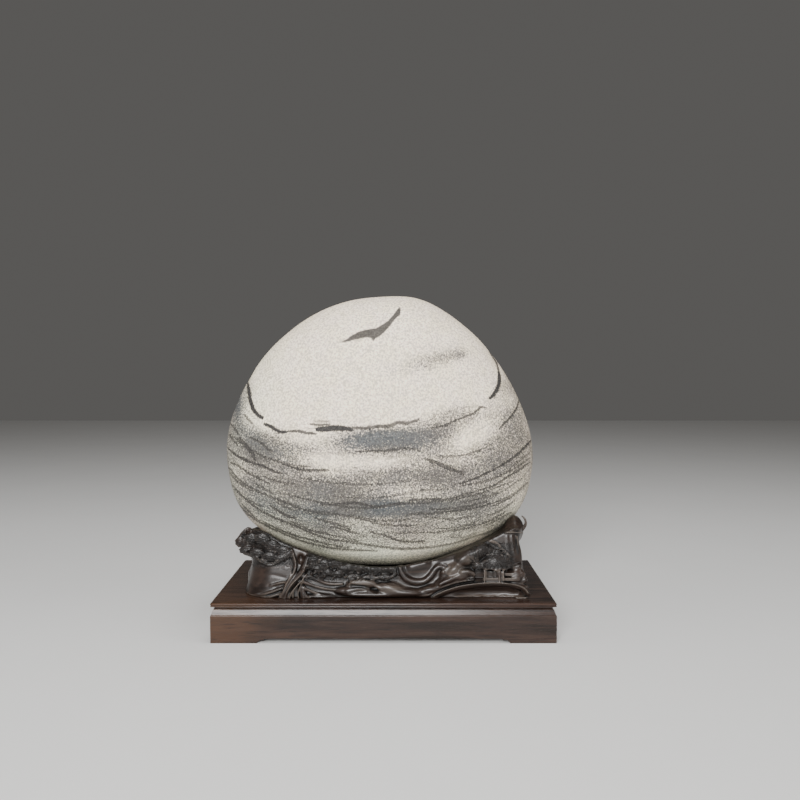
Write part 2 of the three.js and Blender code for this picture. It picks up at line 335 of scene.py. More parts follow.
# Stone markings, read from the photograph in its pixels.
# Each line is its half width, how dark it is, and the points that it passes.
LINES = [
    # where the pale cap ends
    (1.6, 0.9, [(247, 380), (249, 391), (251, 403), (255, 412), (261, 417), (264, 418)]),
    (1.4, 0.95, [(263, 424), (270, 426), (276, 430), (281, 432), (288, 431.5)]),
    (0.9, 0.85, [(286, 431.5), (297, 431), (307, 433), (317, 434)]),
    (0.8, 0.8, [(309, 424), (320, 425), (331, 424.5)]),
    (2.6, 0.95, [(315, 429.5), (326, 428.8), (338, 428), (354, 430)]),
    (1.5, 0.8, [(345, 428), (365, 428), (378, 426.5), (390, 426), (398, 422.5), (408, 423), (420, 419)]),
    (0.9, 0.8, [
        (430, 428), (442, 426), (448, 424), (456, 420), (465, 417), (474, 413), (481, 407), (486, 408)]),
    (0.8, 0.85, [(489, 351), (493, 357), (497, 364), (499, 373)]),
    (1.6, 0.95, [(498.5, 371), (499.5, 379), (498, 387), (494, 394), (489, 399)]),
    (0.7, 0.5, [(330, 422), (322, 421), (314, 422)]),
    # grey lens under it, and the streak beside the pale patch
    (1.0, 0.75, [(354, 452), (368, 451), (384, 451), (397, 449), (410, 448.5), (420, 451)]),
    (1.7, 0.75, [(423, 458), (431, 461), (440, 464), (448, 468), (456, 471), (464, 474)]),
    (0.8, 0.6, [(436, 456), (450, 456.5), (465, 455), (480, 450), (491, 445)]),
    # right flank
    (0.8, 0.8, [(519, 399), (517, 407), (512, 415), (506, 422), (499, 429)]),
    (0.9, 0.85, [(532, 439), (524, 448), (515, 456), (505, 463), (496, 468)]),
    (0.9, 0.8, [(497, 468), (488, 472.5), (478, 477), (468, 481), (458, 484)]),
    (0.8, 0.75, [(530, 462), (519, 470), (509, 476), (498, 483), (487, 488), (474, 491)]),
    (0.8, 0.7, [(528, 482), (518, 491), (506, 500), (492, 506)]),
    (0.7, 0.65, [(516, 499), (507, 506), (498, 512), (486, 516)]),
    (0.7, 0.6, [(530, 452), (522, 459), (512, 466)]),
    (0.7, 0.55, [(505, 487), (494, 493), (481, 497)]),
    (0.7, 0.6, [(511, 512), (499, 519), (486, 525)]),
    (0.7, 0.55, [(505, 524), (494, 530), (480, 535), (467, 538)]),
    # left flank
    (1.0, 0.85, [(228, 448), (236, 455), (245, 460), (253, 463), (263, 466), (276, 472), (284, 473)]),
    (0.9, 0.75, [(249, 437), (258, 441), (266, 447), (273, 453)]),
    (1.8, 0.8, [(239, 437), (244, 444), (250, 450), (256, 461)]),
    (0.8, 0.7, [(244, 414), (248, 419), (253, 424)]),
    (0.8, 0.7, [(230, 423), (235, 429), (239, 435)]),
    (0.8, 0.65, [(229, 433), (233, 440), (238, 446)]),
    (1.0, 0.8, [(282, 464), (292, 467), (303, 470), (318, 470), (330, 470)]),
    (0.9, 0.75, [(230, 462), (240, 467), (250, 474), (258, 478), (270, 484)]),
    (0.9, 0.75, [(263, 476), (274, 480), (284, 483), (296, 484)]),
    (0.8, 0.7, [(229, 472), (236, 480), (244, 486), (254, 492)]),
    (0.8, 0.6, [(254, 483), (264, 489), (274, 494)]),
    (0.8, 0.65, [(233, 486), (241, 495), (250, 501), (262, 507)]),
    (1.0, 0.8, [(269, 505), (280, 512), (290, 517), (298, 518)]),
    (0.7, 0.65, [(276, 502), (288, 508), (300, 511)]),
    (0.8, 0.7, [(240, 505), (248, 514), (258, 521), (270, 526)]),
    # foot of the stone, left to right
    (0.9, 0.75, [(262, 521), (276, 528), (288, 533), (299, 537), (312, 540), (330, 545)]),
    (0.8, 0.75, [(290, 521), (301, 526), (313, 531), (324, 533), (334, 536)]),
    (0.9, 0.65, [(312, 517), (326, 521), (340, 525), (352, 530)]),
    (0.8, 0.6, [(302, 512), (316, 514), (330, 514), (344, 515)]),
    (1.0, 0.8, [(320, 505), (338, 504), (356, 503), (376, 507), (390, 505), (403, 502)]),
    (0.9, 0.75, [(408, 501), (430, 499), (447, 499), (460, 496), (474, 492)]),
    (0.8, 0.7, [(352, 517), (366, 520), (380, 524), (392, 525), (404, 526), (418, 525)]),
    (0.9, 0.7, [(330, 526), (345, 530), (360, 534)]),
    (0.9, 0.75, [(368, 531), (386, 536), (398, 540.5), (410, 542), (426, 541)]),
    (0.7, 0.6, [(330, 535), (347, 538), (360, 541)]),
    (0.8, 0.7, [(346, 542), (366, 544.5), (385, 547), (402, 549), (416, 548.5), (430, 546.5)]),
    (0.8, 0.65, [(326, 543), (338, 546), (350, 548)]),
    (0.8, 0.65, [(428, 509), (446, 509), (463, 507), (477, 504), (489, 500)]),
    (0.8, 0.6, [(436, 528.5), (453, 528), (467, 525), (480, 520)]),
    (0.7, 0.5, [(448, 537), (463, 537), (477, 533)]),
    (0.8, 0.6, [(424, 517), (440, 518.5), (455, 519), (470, 516)]),
    (0.7, 0.5, [(404, 516), (417, 513), (432, 513)]),
    (0.7, 0.5, [(395, 533), (410, 533), (425, 532)]),
    # long bedding lines that run on between the others
    (0.7, 0.75, [(232, 435.5), (246, 446.5), (264, 456.5), (289, 464.5), (310, 467)]),
    (0.8, 0.75, [(228, 467), (241, 481), (259, 492), (282, 501), (305, 510), (328, 514.5)]),
    (0.8, 0.8, [(232, 485), (250, 503), (273, 517), (296, 526), (323, 537.5), (350, 542)]),
    (0.7, 0.75, [(241, 503), (259, 521), (282, 533), (309, 543), (341, 549), (378, 551)]),
    (0.7, 0.65, [(291, 507.5), (323, 512), (355, 517), (387, 521), (414, 519)]),
    (0.8, 0.7, [
        (286, 494), (314, 501), (341, 506), (364, 508), (400, 504), (441, 501), (478, 494), (514, 480.5)]),
    (0.7, 0.7, [(409, 514.5), (446, 512), (487, 505), (519, 491.5)]),
    (0.7, 0.65, [(418, 533), (450, 531), (482, 524), (505, 512)]),
    (0.7, 0.7, [(460, 486), (487, 480.5), (514, 469), (530, 457.5)]),
    (0.7, 0.6, [(460, 503), (496, 494), (523, 478)]),
    (0.7, 0.65, [(341, 539.5), (378, 546), (414, 548.5), (450, 544), (478, 535)]),
    (0.6, 0.55, [(300, 478), (325, 482), (350, 484), (380, 484), (410, 481)]),
    (0.6, 0.5, [(330, 496), (360, 498), (392, 496), (424, 490), (452, 489)]),
]
# Soft clouds of grey: middle, half widths along and across, slant in degrees, and how dark
WASHES = [
    (425, 362, 44, 13, -14, 0.30),
    (447, 357, 26, 8, -14, 0.28),
    (461, 355, 7, 4, -12, 0.32),
    (332, 347, 10, 5, -20, 0.12),
    (385, 438, 40, 12, -3, 0.76),
    (370, 438, 26, 9, -2, 0.22),
    (428, 434, 22, 16, -10, 0.20),
    (452, 412, 30, 9, -16, 0.30),
    (470, 412, 16, 8, -20, 0.14),
    (345, 445, 18, 10, 0, 0.14),
    (262, 448, 26, 20, 30, 0.26),
    (243, 402, 9, 28, 14, 0.46),
    (248, 450, 16, 26, -20, 0.16),
    (300, 452, 26, 12, 10, 0.05),
    (330, 488, 70, 16, 3, 0.32),
    (400, 475, 60, 9, -3, 0.20),
    (385, 509, 78, 9, -2, 0.62),
    (375, 508, 50, 8, -2, 0.50),
    (462, 503, 60, 14, -16, 0.13),
    (470, 470, 40, 16, -24, 0.22),
    (500, 462, 34, 18, -38, 0.20),
    (522, 445, 10, 26, 0, 0.08),
    (233, 455, 9, 30, 0, 0.18),
    (505, 430, 20, 12, -40, 0.14),
    (280, 500, 46, 22, 25, 0.22),
    (345, 530, 60, 11, 8, 0.20),
    (425, 525, 60, 12, -8, 0.09),
    (252, 490, 18, 26, -30, 0.12),
]
PALE_PATCHES = [
    (384, 461, 34, 7, -2, 0.44),
    (471, 437, 25, 12, -22, 0.66),
    (322, 459, 30, 9, 4, 0.22),
    (300, 440, 26, 5, 6, 0.14),
    (497, 408, 16, 12, -50, 0.22),
    (372, 488, 24, 5, -2, 0.12),
    (372, 556, 78, 7, 2, 0.55),
    (296, 545, 34, 6, 26, 0.36),
    (452, 546, 44, 6, -20, 0.30),
    (262, 424, 8, 5, 40, 0.20),
]
COOL_PATCHES = [
    (382, 438, 50, 14, -2, 1.2),
    (390, 509, 80, 12, -2, 0.55),
    (305, 516, 50, 12, 12, 0.8),
    (265, 448, 30, 18, 30, 0.7),
    (243, 404, 12, 30, 8, 0.9),
]
# The dark bird-like figure on the cap, as a closed outline
BIRD = [
    (340, 342.8), (345, 340.2), (351, 336), (358, 332.2), (365, 330), (371.5, 329),
    (376, 328.4), (383.3, 324.4), (388.3, 320.8), (393.2, 315.3), (396.7, 310.4), (399.8, 306.6),
    (400.6, 309.5), (400.0, 314.8), (396.6, 317.3), (393.2, 321.2), (390.3, 325.2), (386.1, 330.2),
    (379.5, 336.2), (375.5, 338.2), (373.6, 341.4), (371.2, 338), (366, 337.2), (361, 338.2),
    (354, 339.6), (347.5, 341.6),
]
LINE_REACH = 6.0
LINE_CLEARANCE = 9.0


def distance_to_line(places, line):
    """Signed distance to a line of points, and how far along it the nearest point is."""
    nearest = np.full(len(places), 1e9)
    signed = np.full(len(places), 1e9)
    along = np.zeros(len(places))
    steps = len(line) - 1
    for index, (start, end) in enumerate(zip(line, line[1:])):
        run = end - start
        offset = places - start
        t = np.clip(offset @ run / (run @ run), 0, 1)
        gap = offset - t[:, None] * run
        distance = np.hypot(gap[:, 0], gap[:, 1])
        side = np.sign(run[0] * offset[:, 1] - run[1] * offset[:, 0])
        closer = distance < nearest
        nearest = np.where(closer, distance, nearest)
        signed = np.where(closer, distance * np.where(side == 0, 1, side), signed)
        along = np.where(closer, (index + t) / steps, along)
    return signed, along


def line_groups():
    """Shares the lines out so that no two in a group come close to each other."""
    groups = []
    for half_width, dark, points in LINES:
        curve = smooth_curve(points)
        for group in groups:
            gaps = [np.linalg.norm(curve[:, None] - other[None], axis=2).min() for _, _, other in group]
            if min(gaps) > LINE_CLEARANCE:
                group.append((half_width, dark, curve))
                break
        else:
            groups.append([(half_width, dark, curve)])
    return groups


def line_fields(places, group):
    """For one group: signed distance to the nearest line, its half width there, and its darkness."""
    offset = np.full(len(places), 1e3)
    width = np.full(len(places), -LINE_REACH)
    dark = np.zeros(len(places))
    for half_width, darkness, curve in group:
        signed, along = distance_to_line(places, curve)
        near = np.abs(signed) < np.minimum(np.abs(offset), LINE_REACH)
        taper = np.sin(math.pi * np.clip(along, 0, 1)) ** 0.45
        beyond = (along <= 0) | (along >= 1)
        here = np.where(beyond, -1.5, (half_width + 0.12) * (0.3 + 0.7 * taper))
        offset = np.where(near, signed, offset)
        width = np.where(near, here, width)
        dark = np.where(np.abs(signed) < LINE_CLEARANCE / 2, darkness, dark)
    return np.clip(offset, -LINE_REACH, LINE_REACH), width, dark


def soft_spots(places, spots):
    """Sum of soft ellipses at each place."""
    total = np.zeros(len(places))
    for px, py, half_long, half_short, slant, strength in spots:
        turn = math.radians(slant)
        x, y = (places - (px, py)).T
        along = (x * math.cos(turn) + y * math.sin(turn)) / half_long
        across = (y * math.cos(turn) - x * math.sin(turn)) / half_short
        total += strength * np.exp(-1.4 * (along ** 2 + across ** 2))
    return total


def bird_distance(places):
    """Distance to the bird figure's edge, negative inside."""
    outline = np.array(BIRD + BIRD[:1], dtype=float)
    signed, _ = distance_to_line(places, outline)
    inside = np.zeros(len(places), dtype=bool)
    x, y = places.T
    for (x0, y0), (x1, y1) in zip(outline, outline[1:]):
        crosses = (y0 > y) != (y1 > y)
        rise = y1 - y0 if y1 != y0 else 1.0
        inside ^= crosses & (x < (x1 - x0) * (y - y0) / rise + x0)
    return np.clip(np.where(inside, -np.abs(signed), np.abs(signed)), -LINE_REACH, LINE_REACH)


def mark_stone(piece, points):
    """Stores the markings on the stone's points, for its material to draw."""
    # points behind are read as their mirror image in front, and front fades what they take over
    front = smoothstep(25, -5, points[:, 1])
    mirrored = points.copy()
    mirrored[:, 1] = -np.abs(points[:, 1])
    places = project(mirrored)
    height = bedding_height(points)
    below_cap = smoothstep(8, -14, height + 5 * waves(points, 70, 11))
    along_beds = points * np.array([0.25, 0.25, 1.0]) - np.outer(height, [0, 0, 0.2])
    patches = 0.10 * waves(along_beds, 26, 21) + 0.06 * waves(points, 60, 22)
    tone = 0.01 + below_cap * (0.42 + 0.18 * front + patches * (1.0 + 0.6 * front))
    wide_front = smoothstep(75, -10, points[:, 1])
    tone += wide_front * (1.45 * soft_spots(places, WASHES) - 1.5 * soft_spots(places, PALE_PATCHES))
    cool = wide_front * soft_spots(places, COOL_PATCHES) + 0.3 * waves(points, 70, 41)
    set_attribute(piece, "tone", np.clip(tone, 0, 1.25))
    set_attribute(piece, "beds", below_cap * (1 - 0.7 * front))
    set_attribute(piece, "bird", bird_distance(places) + LINE_REACH * (1 - front))
    set_attribute(piece, "cool", np.clip(cool, 0, 1))
    low = smoothstep(220, 90, points[:, 2]) + 0.5 * smoothstep(-90, -180, points[:, 0])
    set_attribute(piece, "low_tint", np.clip(low * (0.65 + 0.4 * waves(points, 80, 31)), 0, 1))
    slim = 0.25 + 0.75 * smoothstep(5, -50, points[:, 1])
    groups = line_groups()
    for index, group in enumerate(groups):
        offset, width, dark = line_fields(places, group)
        width = np.where(width > 0, width * slim, width)
        set_attribute(piece, f"line_{index}_offset", offset)
        set_attribute(piece, f"line_{index}_width", width - 2.0 * (1 - front))
        set_attribute(piece, f"line_{index}_dark", dark)
    return len(groups)


# Colours of the stone, each a pair that a noise blends; the bedding noise's cells per millimetre
WARM_PALE = ((0.90, 0.785, 0.60), (0.91, 0.785, 0.645))
GREENISH_PALE = (0.84, 0.85, 0.66)
GREY_GRAINS = ((0.060, 0.057, 0.054), (0.108, 0.101, 0.098))
INK = ((0.034, 0.032, 0.030), (0.062, 0.057, 0.053))
COOL_GREY = (0.046, 0.060, 0.073)
ALONG_BEDS = 0.012
ACROSS_BEDS = 0.26


def stone_material(group_count):
    """Speckled pale stone with its grey clouds, ink lines and bird."""
    shader = Shader("river_stone")
    place = shader.millimetres()
    grain = shader.noise(place, 1.7, detail=1.5, roughness=0.6)
    specks = shader.noise(place, 1.3, detail=1.0)
    blotches = shader.noise(place, 22, detail=4, roughness=0.6)
    upright = (-BEDDING_RISE / BEDDING_SLANT, -BEDDING_TILT / BEDDING_SLANT, 1 / BEDDING_SLANT)
    across = shader.vector("DOT_PRODUCT", place, upright)
    wander = shader.times(shader.noise(place, 75, detail=2), 17.0)
    across = shader.plus(across, wander)
    parts = shader.node("ShaderNodeSeparateXYZ", {"Vector": place})
    beds = shader.node("ShaderNodeCombineXYZ", {
        "X": shader.times(parts.outputs["X"], ALONG_BEDS),
        "Y": shader.times(parts.outputs["Y"], ALONG_BEDS),
        "Z": shader.times(across, ACROSS_BEDS),
    }).outputs[0]
    streaks = shader.noise(beds, 1.0, detail=2.0, roughness=0.5)
    bed_lines = shader.times(shader.ramp(streaks, 0.57, 0.63), shader.attribute("beds"))

    # lines: ragged at the grain's scale
    ragged = shader.times(shader.math("SUBTRACT", grain, 0.5), 3.2)
    ink = shader.times(bed_lines, 0.75)
    for index in range(group_count):
        offset = shader.math("ABSOLUTE", shader.attribute(f"line_{index}_offset"))
        inside = shader.math("SUBTRACT", shader.attribute(f"line_{index}_width"), offset)
        edge = shader.ramp(shader.plus(inside, ragged), -1.1, 0.25)
        dark = shader.times(shader.attribute(f"line_{index}_dark"), 1.12)
        ink = shader.larger(ink, shader.times(edge, dark))
    bird_edge = shader.plus(shader.attribute("bird"), shader.times(ragged, 0.45))
    bird = shader.ramp(bird_edge, 0.8, -0.4, 0.0, 0.95)
    ink = shader.larger(ink, bird)

    # speckle: more and darker grains where the tone is darker
    uneven = shader.times(shader.math("SUBTRACT", blotches, 0.5), 0.12)
    tone = shader.plus(shader.attribute("tone"), uneven)
    swing = shader.ramp(tone, 0.02, 0.5, 0.5, 2.7)
    grains = shader.plus(tone, shader.times(shader.math("SUBTRACT", grain, 0.5), swing))
    cover = shader.ramp(grains, 0.0, 1.1, 0.0, 0.95)
    mottle = shader.ramp(shader.noise(place, 2.5, detail=1.5, roughness=0.7), 0.34, 0.66, 0.70, 1.30)

    warm = shader.mix(shader.ramp(blotches, 0.35, 0.65), *WARM_PALE)
    pale = shader.mix(shader.attribute("low_tint"), warm, GREENISH_PALE)
    grey = shader.mix(shader.ramp(specks, 0.4, 0.6), *GREY_GRAINS)
    black = shader.mix(shader.ramp(specks, 0.4, 0.6), *INK)
    washed = shader.mix(cover, pale, shader.mix(shader.attribute("cool"), grey, COOL_GREY))
    pits = shader.bump(grain, 0.28, 0.5)
    return shader.finished({
        "Base Color": shader.vector("MULTIPLY", shader.mix(ink, washed, black), mottle),
        "Roughness": shader.ramp(grain, 0.3, 0.7, 0.56, 0.72),
        "Normal": shader.bump(specks, 0.12, 0.4, pits),
        "Specular IOR Level": 0.22,
    })


def make_stone():
    directions, quads = cube_sphere(STONE_CELLS)
    points = stone_points(directions)
    stone = new_object("river_stone", points, quads)
    count = mark_stone(stone, points)
    stone.data.materials.append(stone_material(count))
    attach(stone, "root")
    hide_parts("stone")


# Seat: carved as a field of distances, then turned into a mesh. Places that go through seen_at,
# stroke, ridges or groove are pixels of the photograph, with a third value in millimetres out
# from the front wall. All other places and sizes are millimetres.
class Clay:
    """A grid of distances in millimetres, negative inside the wood and FAR where nothing is near."""

    def __init__(self, low, high, step):
        self.low = np.array(low, dtype=float)
        self.step = step
        self.axes = [np.arange(a, b + step / 2, step, dtype=np.float32) for a, b in zip(low, high)]
        self.field = np.full([len(axis) for axis in self.axes], FAR, dtype=np.float32)

    def window(self, low, high):
        parts = []
        for axis, start, end, base in zip(self.axes, low, high, self.low):
            first = max(0, int((start - base) / self.step))
            last = min(len(axis), int((end - base) / self.step) + 2)
            parts.append(slice(first, max(first + 1, last)))
        x, y, z = (axis[part] for axis, part in zip(self.axes, parts))
        return tuple(parts), x[:, None, None], y[None, :, None], z[None, None, :]

    def add(self, shape, blend=1.0):
        low, high, distance = shape
        part, x, y, z = self.window(low, high)
        self.field[part] = blended(self.field[part], distance(x, y, z), blend)

    def cut(self, shape, blend=1.0):
        low, high, distance = shape
        part, x, y, z = self.window(low, high)
        self.field[part] = -blended(-self.field[part], distance(x, y, z), blend)

    def sample(self, points):
        """Field values at points, by straight-line interpolation."""
        place = (points - self.low) / self.step
        size = np.array(self.field.shape)
        base = np.clip(np.floor(place).astype(int), 0, size - 2)
        t = np.clip(place - base, 0, 1)
        total = np.zeros(len(points))
        for corner in np.ndindex(2, 2, 2):
            weight = np.prod(np.where(corner, t, 1 - t), axis=1)
            total += weight * self.field[tuple((base + corner).T)]
        return total


def blended(a, b, blend):
    """The nearer of two distances, with a fillet of about that size between them."""
    h = np.clip(0.5 + 0.5 * (a - b) / blend, 0, 1)
    return a + (b - a) * h - blend * h * (1 - h)


def lump(middle, halves, turn=0.0, texture=None):
    """An ellipsoid, tilted about Y, with an optional surface texture."""
    middle = np.array(middle, dtype=float)
    halves = np.array(halves, dtype=float)
    reach = halves.max() + 4

    def distance(x, y, z):
        dx, dy, dz = x - middle[0], y - middle[1], z - middle[2]
        u = dx * math.cos(turn) + dz * math.sin(turn)
        w = dz * math.cos(turn) - dx * math.sin(turn)
        k0 = np.sqrt((u / halves[0]) ** 2 + (dy / halves[1]) ** 2 + (w / halves[2]) ** 2)
        k1 = np.sqrt((u / halves[0] ** 2) ** 2 + (dy / halves[1] ** 2) ** 2 + (w / halves[2] ** 2) ** 2)
        result = k0 * (k0 - 1) / np.maximum(k1, 1e-6)
        if texture is not None:
            result = result + texture(u, w)
        return result

    return middle - reach, middle + reach, distance


def limb(points, start, end, steps=4):
    """A round limb through points, from one radius to another."""
    curve = smooth_curve(points, steps)
    radii = np.linspace(start, end, len(curve))
    reach = max(start, end) + 4

    def distance(x, y, z):
        result = None
        for a, b, ra, rb in zip(curve, curve[1:], radii, radii[1:]):
            run = b - a
            dx, dy, dz = x - a[0], y - a[1], z - a[2]
            t = np.clip((dx * run[0] + dy * run[1] + dz * run[2]) / (run @ run), 0, 1)
            gx, gy, gz = dx - t * run[0], dy - t * run[1], dz - t * run[2]
            d = np.sqrt(gx * gx + gy * gy + gz * gz) - (ra + (rb - ra) * t)
            result = d if result is None else np.minimum(result, d)
        return result

    return curve.min(axis=0) - reach, curve.max(axis=0) + reach, distance


def block(middle, halves, rounding=0.6, turn=0.0):
    """A box with rounded edges, tilted about Y."""
    middle = np.array(middle, dtype=float)
    reach = float(np.linalg.norm(halves)) + 3

    def distance(x, y, z):
        dx, dz = x - middle[0], z - middle[2]
        u = np.abs(dx * math.cos(turn) + dz * math.sin(turn)) - halves[0] + rounding
        v = np.abs(y - middle[1]) - halves[1] + rounding
        w = np.abs(dz * math.cos(turn) - dx * math.sin(turn)) - halves[2] + rounding
        outside = np.sqrt(np.maximum(u, 0) ** 2 + np.maximum(v, 0) ** 2 + np.maximum(w, 0) ** 2)
        return outside + np.minimum(np.maximum(np.maximum(u, v), w), 0) - rounding

    return middle - reach, middle + reach, distance


def wall(z):
    """How far the front and back walls stand from the middle at a height."""
    return SEAT_HALF_DEPTH * (1 - SEAT_LEAN * (z - SEAT_BOTTOM) / (SEAT_REACH - SEAT_BOTTOM))


def on_back(x, z, proud):
    return np.array([x, wall(z) + proud, z])


def rim_surface(x, y, z):
    """Distance above the top of the rim, which falls towards the stone."""
    inward = np.maximum(wall(z) - np.abs(y), 0)
    drop = RIM_DROP * (0.35 + 0.65 * smoothstep(110, 40, x)) * smoothstep(168, 150, x)
    return (z - np.interp(x, RIM_CURVE[:, 0], RIM_CURVE[:, 1]) + drop * inward) * 0.9


def seat_block():
    """The leaning block with rounded corners, under its rim line."""
    def distance(x, y, z):
        rise = np.clip((z - SEAT_BOTTOM) / (SEAT_REACH - SEAT_BOTTOM), 0, 1)
        px = x / (1 - SEAT_PINCH * np.sin(math.pi * rise))
        py = y / (1 - SEAT_LEAN * rise)
        corner = np.where(py < 0, np.where(px < 0, LEFT_CORNER, 14.0), 30.0)
        qx = np.abs(px) - SEAT_HALF_LENGTH + corner
        qy = np.abs(py) - SEAT_HALF_DEPTH + corner
        side = np.sqrt(np.maximum(qx, 0) ** 2 + np.maximum(qy, 0) ** 2)
        side = side + np.minimum(np.maximum(qx, qy), 0) - corner
        return -blended(-side, -rim_surface(x, y, z), 3.0)

    return *SEAT_SPACE, distance


def over_rim():
    """The space above the rim, left open over the pine's corner and the curl."""
    def distance(x, y, z):
        spare = 0.6 + 3.0 * smoothstep(-150, -172, x) + 26.0 * smoothstep(152, 162, x)
        return spare - rim_surface(x, y, z)

    return *CLAY_SPACE, distance


def stone_socket():
    """The stone's shape with a small gap all round."""
    def distance(x, y, z):
        dx = x - STONE_CENTRE[0]
        dz = z - STONE_CENTRE[2]
        radius = outline_radius(np.arctan2(dz, dx)) + SOCKET_GAP
        across = np.hypot(dx, dz)
        spread = (across / radius) ** STONE_FULLNESS
        deep = np.abs(y / (STONE_HALF_DEPTH + SOCKET_GAP)) ** STONE_FULLNESS
        scale = np.maximum((spread + deep) ** (1 / STONE_FULLNESS), 1e-3)
        return (1 - 1 / scale) * np.sqrt(across ** 2 + y ** 2)

    return *SEAT_SPACE, distance


def needles(count, depth, from_height):
    """Texture of grooves that fan out from a point on the face."""
    def texture(u, w):
        return depth * np.cos(count * np.arctan2(w - from_height, u))

    return texture


def scales(half_width, half_height, depth):
    """Texture of nested scalloped grooves, fanning from below a pad."""
    spacing = 3.1

    def texture(u, w):
        across = u / half_width
        rise = (w + 1.5 * half_height) / half_height
        reach = np.sqrt(across ** 2 + rise ** 2)
        wavy = 0.10 * np.cos(11 * np.arctan2(across, rise))
        return depth * np.cos(2 * math.pi * (reach + wavy) * half_height / spacing)

    return texture


def seen_at(px, py, proud=0.0):
    """The point of the seat's front wall that shows at that pixel, raised by that much."""
    ray = np.array([
        (px - IMAGE_PX / 2) / FOCAL_PX,
        math.cos(PITCH) + (IMAGE_PX / 2 - py) / FOCAL_PX * math.sin(PITCH),
        (IMAGE_PX / 2 - py) / FOCAL_PX * math.cos(PITCH) - math.sin(PITCH),
    ])
    lean = SEAT_HALF_DEPTH * SEAT_LEAN / (SEAT_REACH - SEAT_BOTTOM)
    rounded = 0.0
    for _ in range(4):
        reach = SEAT_HALF_DEPTH + lean * SEAT_BOTTOM + proud - rounded
        t = (-reach + lean * CAMERA_PLACE[2] - CAMERA_PLACE[1]) / (ray[1] - lean * ray[2])
        place = CAMERA_PLACE + t * ray
        past = np.clip(-place[0] - SEAT_HALF_LENGTH + LEFT_CORNER, 0, LEFT_CORNER - 3)
        rounded = LEFT_CORNER - math.sqrt(LEFT_CORNER ** 2 - past ** 2)
    return place


def route(points, proud=0.0):
    """Places on the front wall for a run of pixels; a third value raises that one further."""
    return [seen_at(px, py, proud + sum(further)) for px, py, *further in points]


def stroke(clay, points, start, end, blend, proud=0.0):
    """A round limb along a run of pixels."""
    clay.add(limb(route(points, proud), start, end), blend)


def ridges(clay, points, offsets, radius, proud=0.0, taper=0.6, blend=0.5):
    """Parallel ridges along a run of pixels, the offsets in millimetres to its left."""
    curve = smooth_curve(route(points, proud), 4)
    run = np.gradient(curve, axis=0)
    length = np.hypot(run[:, 0], run[:, 2])[:, None]
    side = np.stack([-run[:, 2], 0 * run[:, 0], run[:, 0]], 1) / length
    fade = np.linspace(1, taper, len(curve))[:, None]
    for offset in offsets:
        clay.add(limb(curve + side * offset * fade, radius, radius * taper, steps=1), blend)


def groove(clay, points, radius, proud=0.0, blend=0.6):
    clay.cut(limb(route(points, proud), radius, radius * 0.6), blend)


def foliage_pad(clay, middle, half_width, half_height, turn=0.0):
    """One flat clump of pine needles: a grooved mound over a scalloped rim."""
    middle = np.array(middle, dtype=float)
    texture = scales(half_width, half_height, 0.75)
    clay.add(lump(middle + np.array([0, -1, 0]), (half_width, 3.2, half_height), turn, texture), 0.4)
    angles = np.radians(np.linspace(170, 370, 11))
    wavy = 1.05 * (1 + 0.1 * np.cos(np.arange(11) * math.pi))
    across = half_width * np.cos(angles) * wavy
    rise = half_height * np.sin(angles) * wavy
    rim = np.stack([
        middle[0] + across * math.cos(turn) - rise * math.sin(turn),
        middle[1] - 2.2 + 0.08 * np.abs(across),
        middle[2] + rise * math.cos(turn) + across * math.sin(turn),
    ], 1)
    clay.add(limb(rim, 1.0, 1.0, steps=2), 0.4)


def cloud_head(clay, middle, half_width, half_height, mirror=1.0, facing=-1.0):
    """A scrolled cloud: a mound with a ridge that coils in to its middle."""
    middle = np.array(middle, dtype=float)
    clay.add(lump(middle + np.array([0, 1.5 * facing, 0]), (half_width, 3.4, half_height)), 0.5)
    turns = np.linspace(0, 1, 24)
    angles = np.radians(-170 + 560 * turns)
    ratio = 0.86 - 0.52 * turns
    scroll = np.stack([
        middle[0] + mirror * half_width * ratio * np.cos(angles),
        middle[1] + facing * (1.8 + 3.2 * np.sqrt(1 - ratio ** 2)),
        middle[2] + half_height * ratio * np.sin(angles),
    ], 1)
    clay.cut(limb(scroll, 1.25, 1.0, steps=1), 0.35)


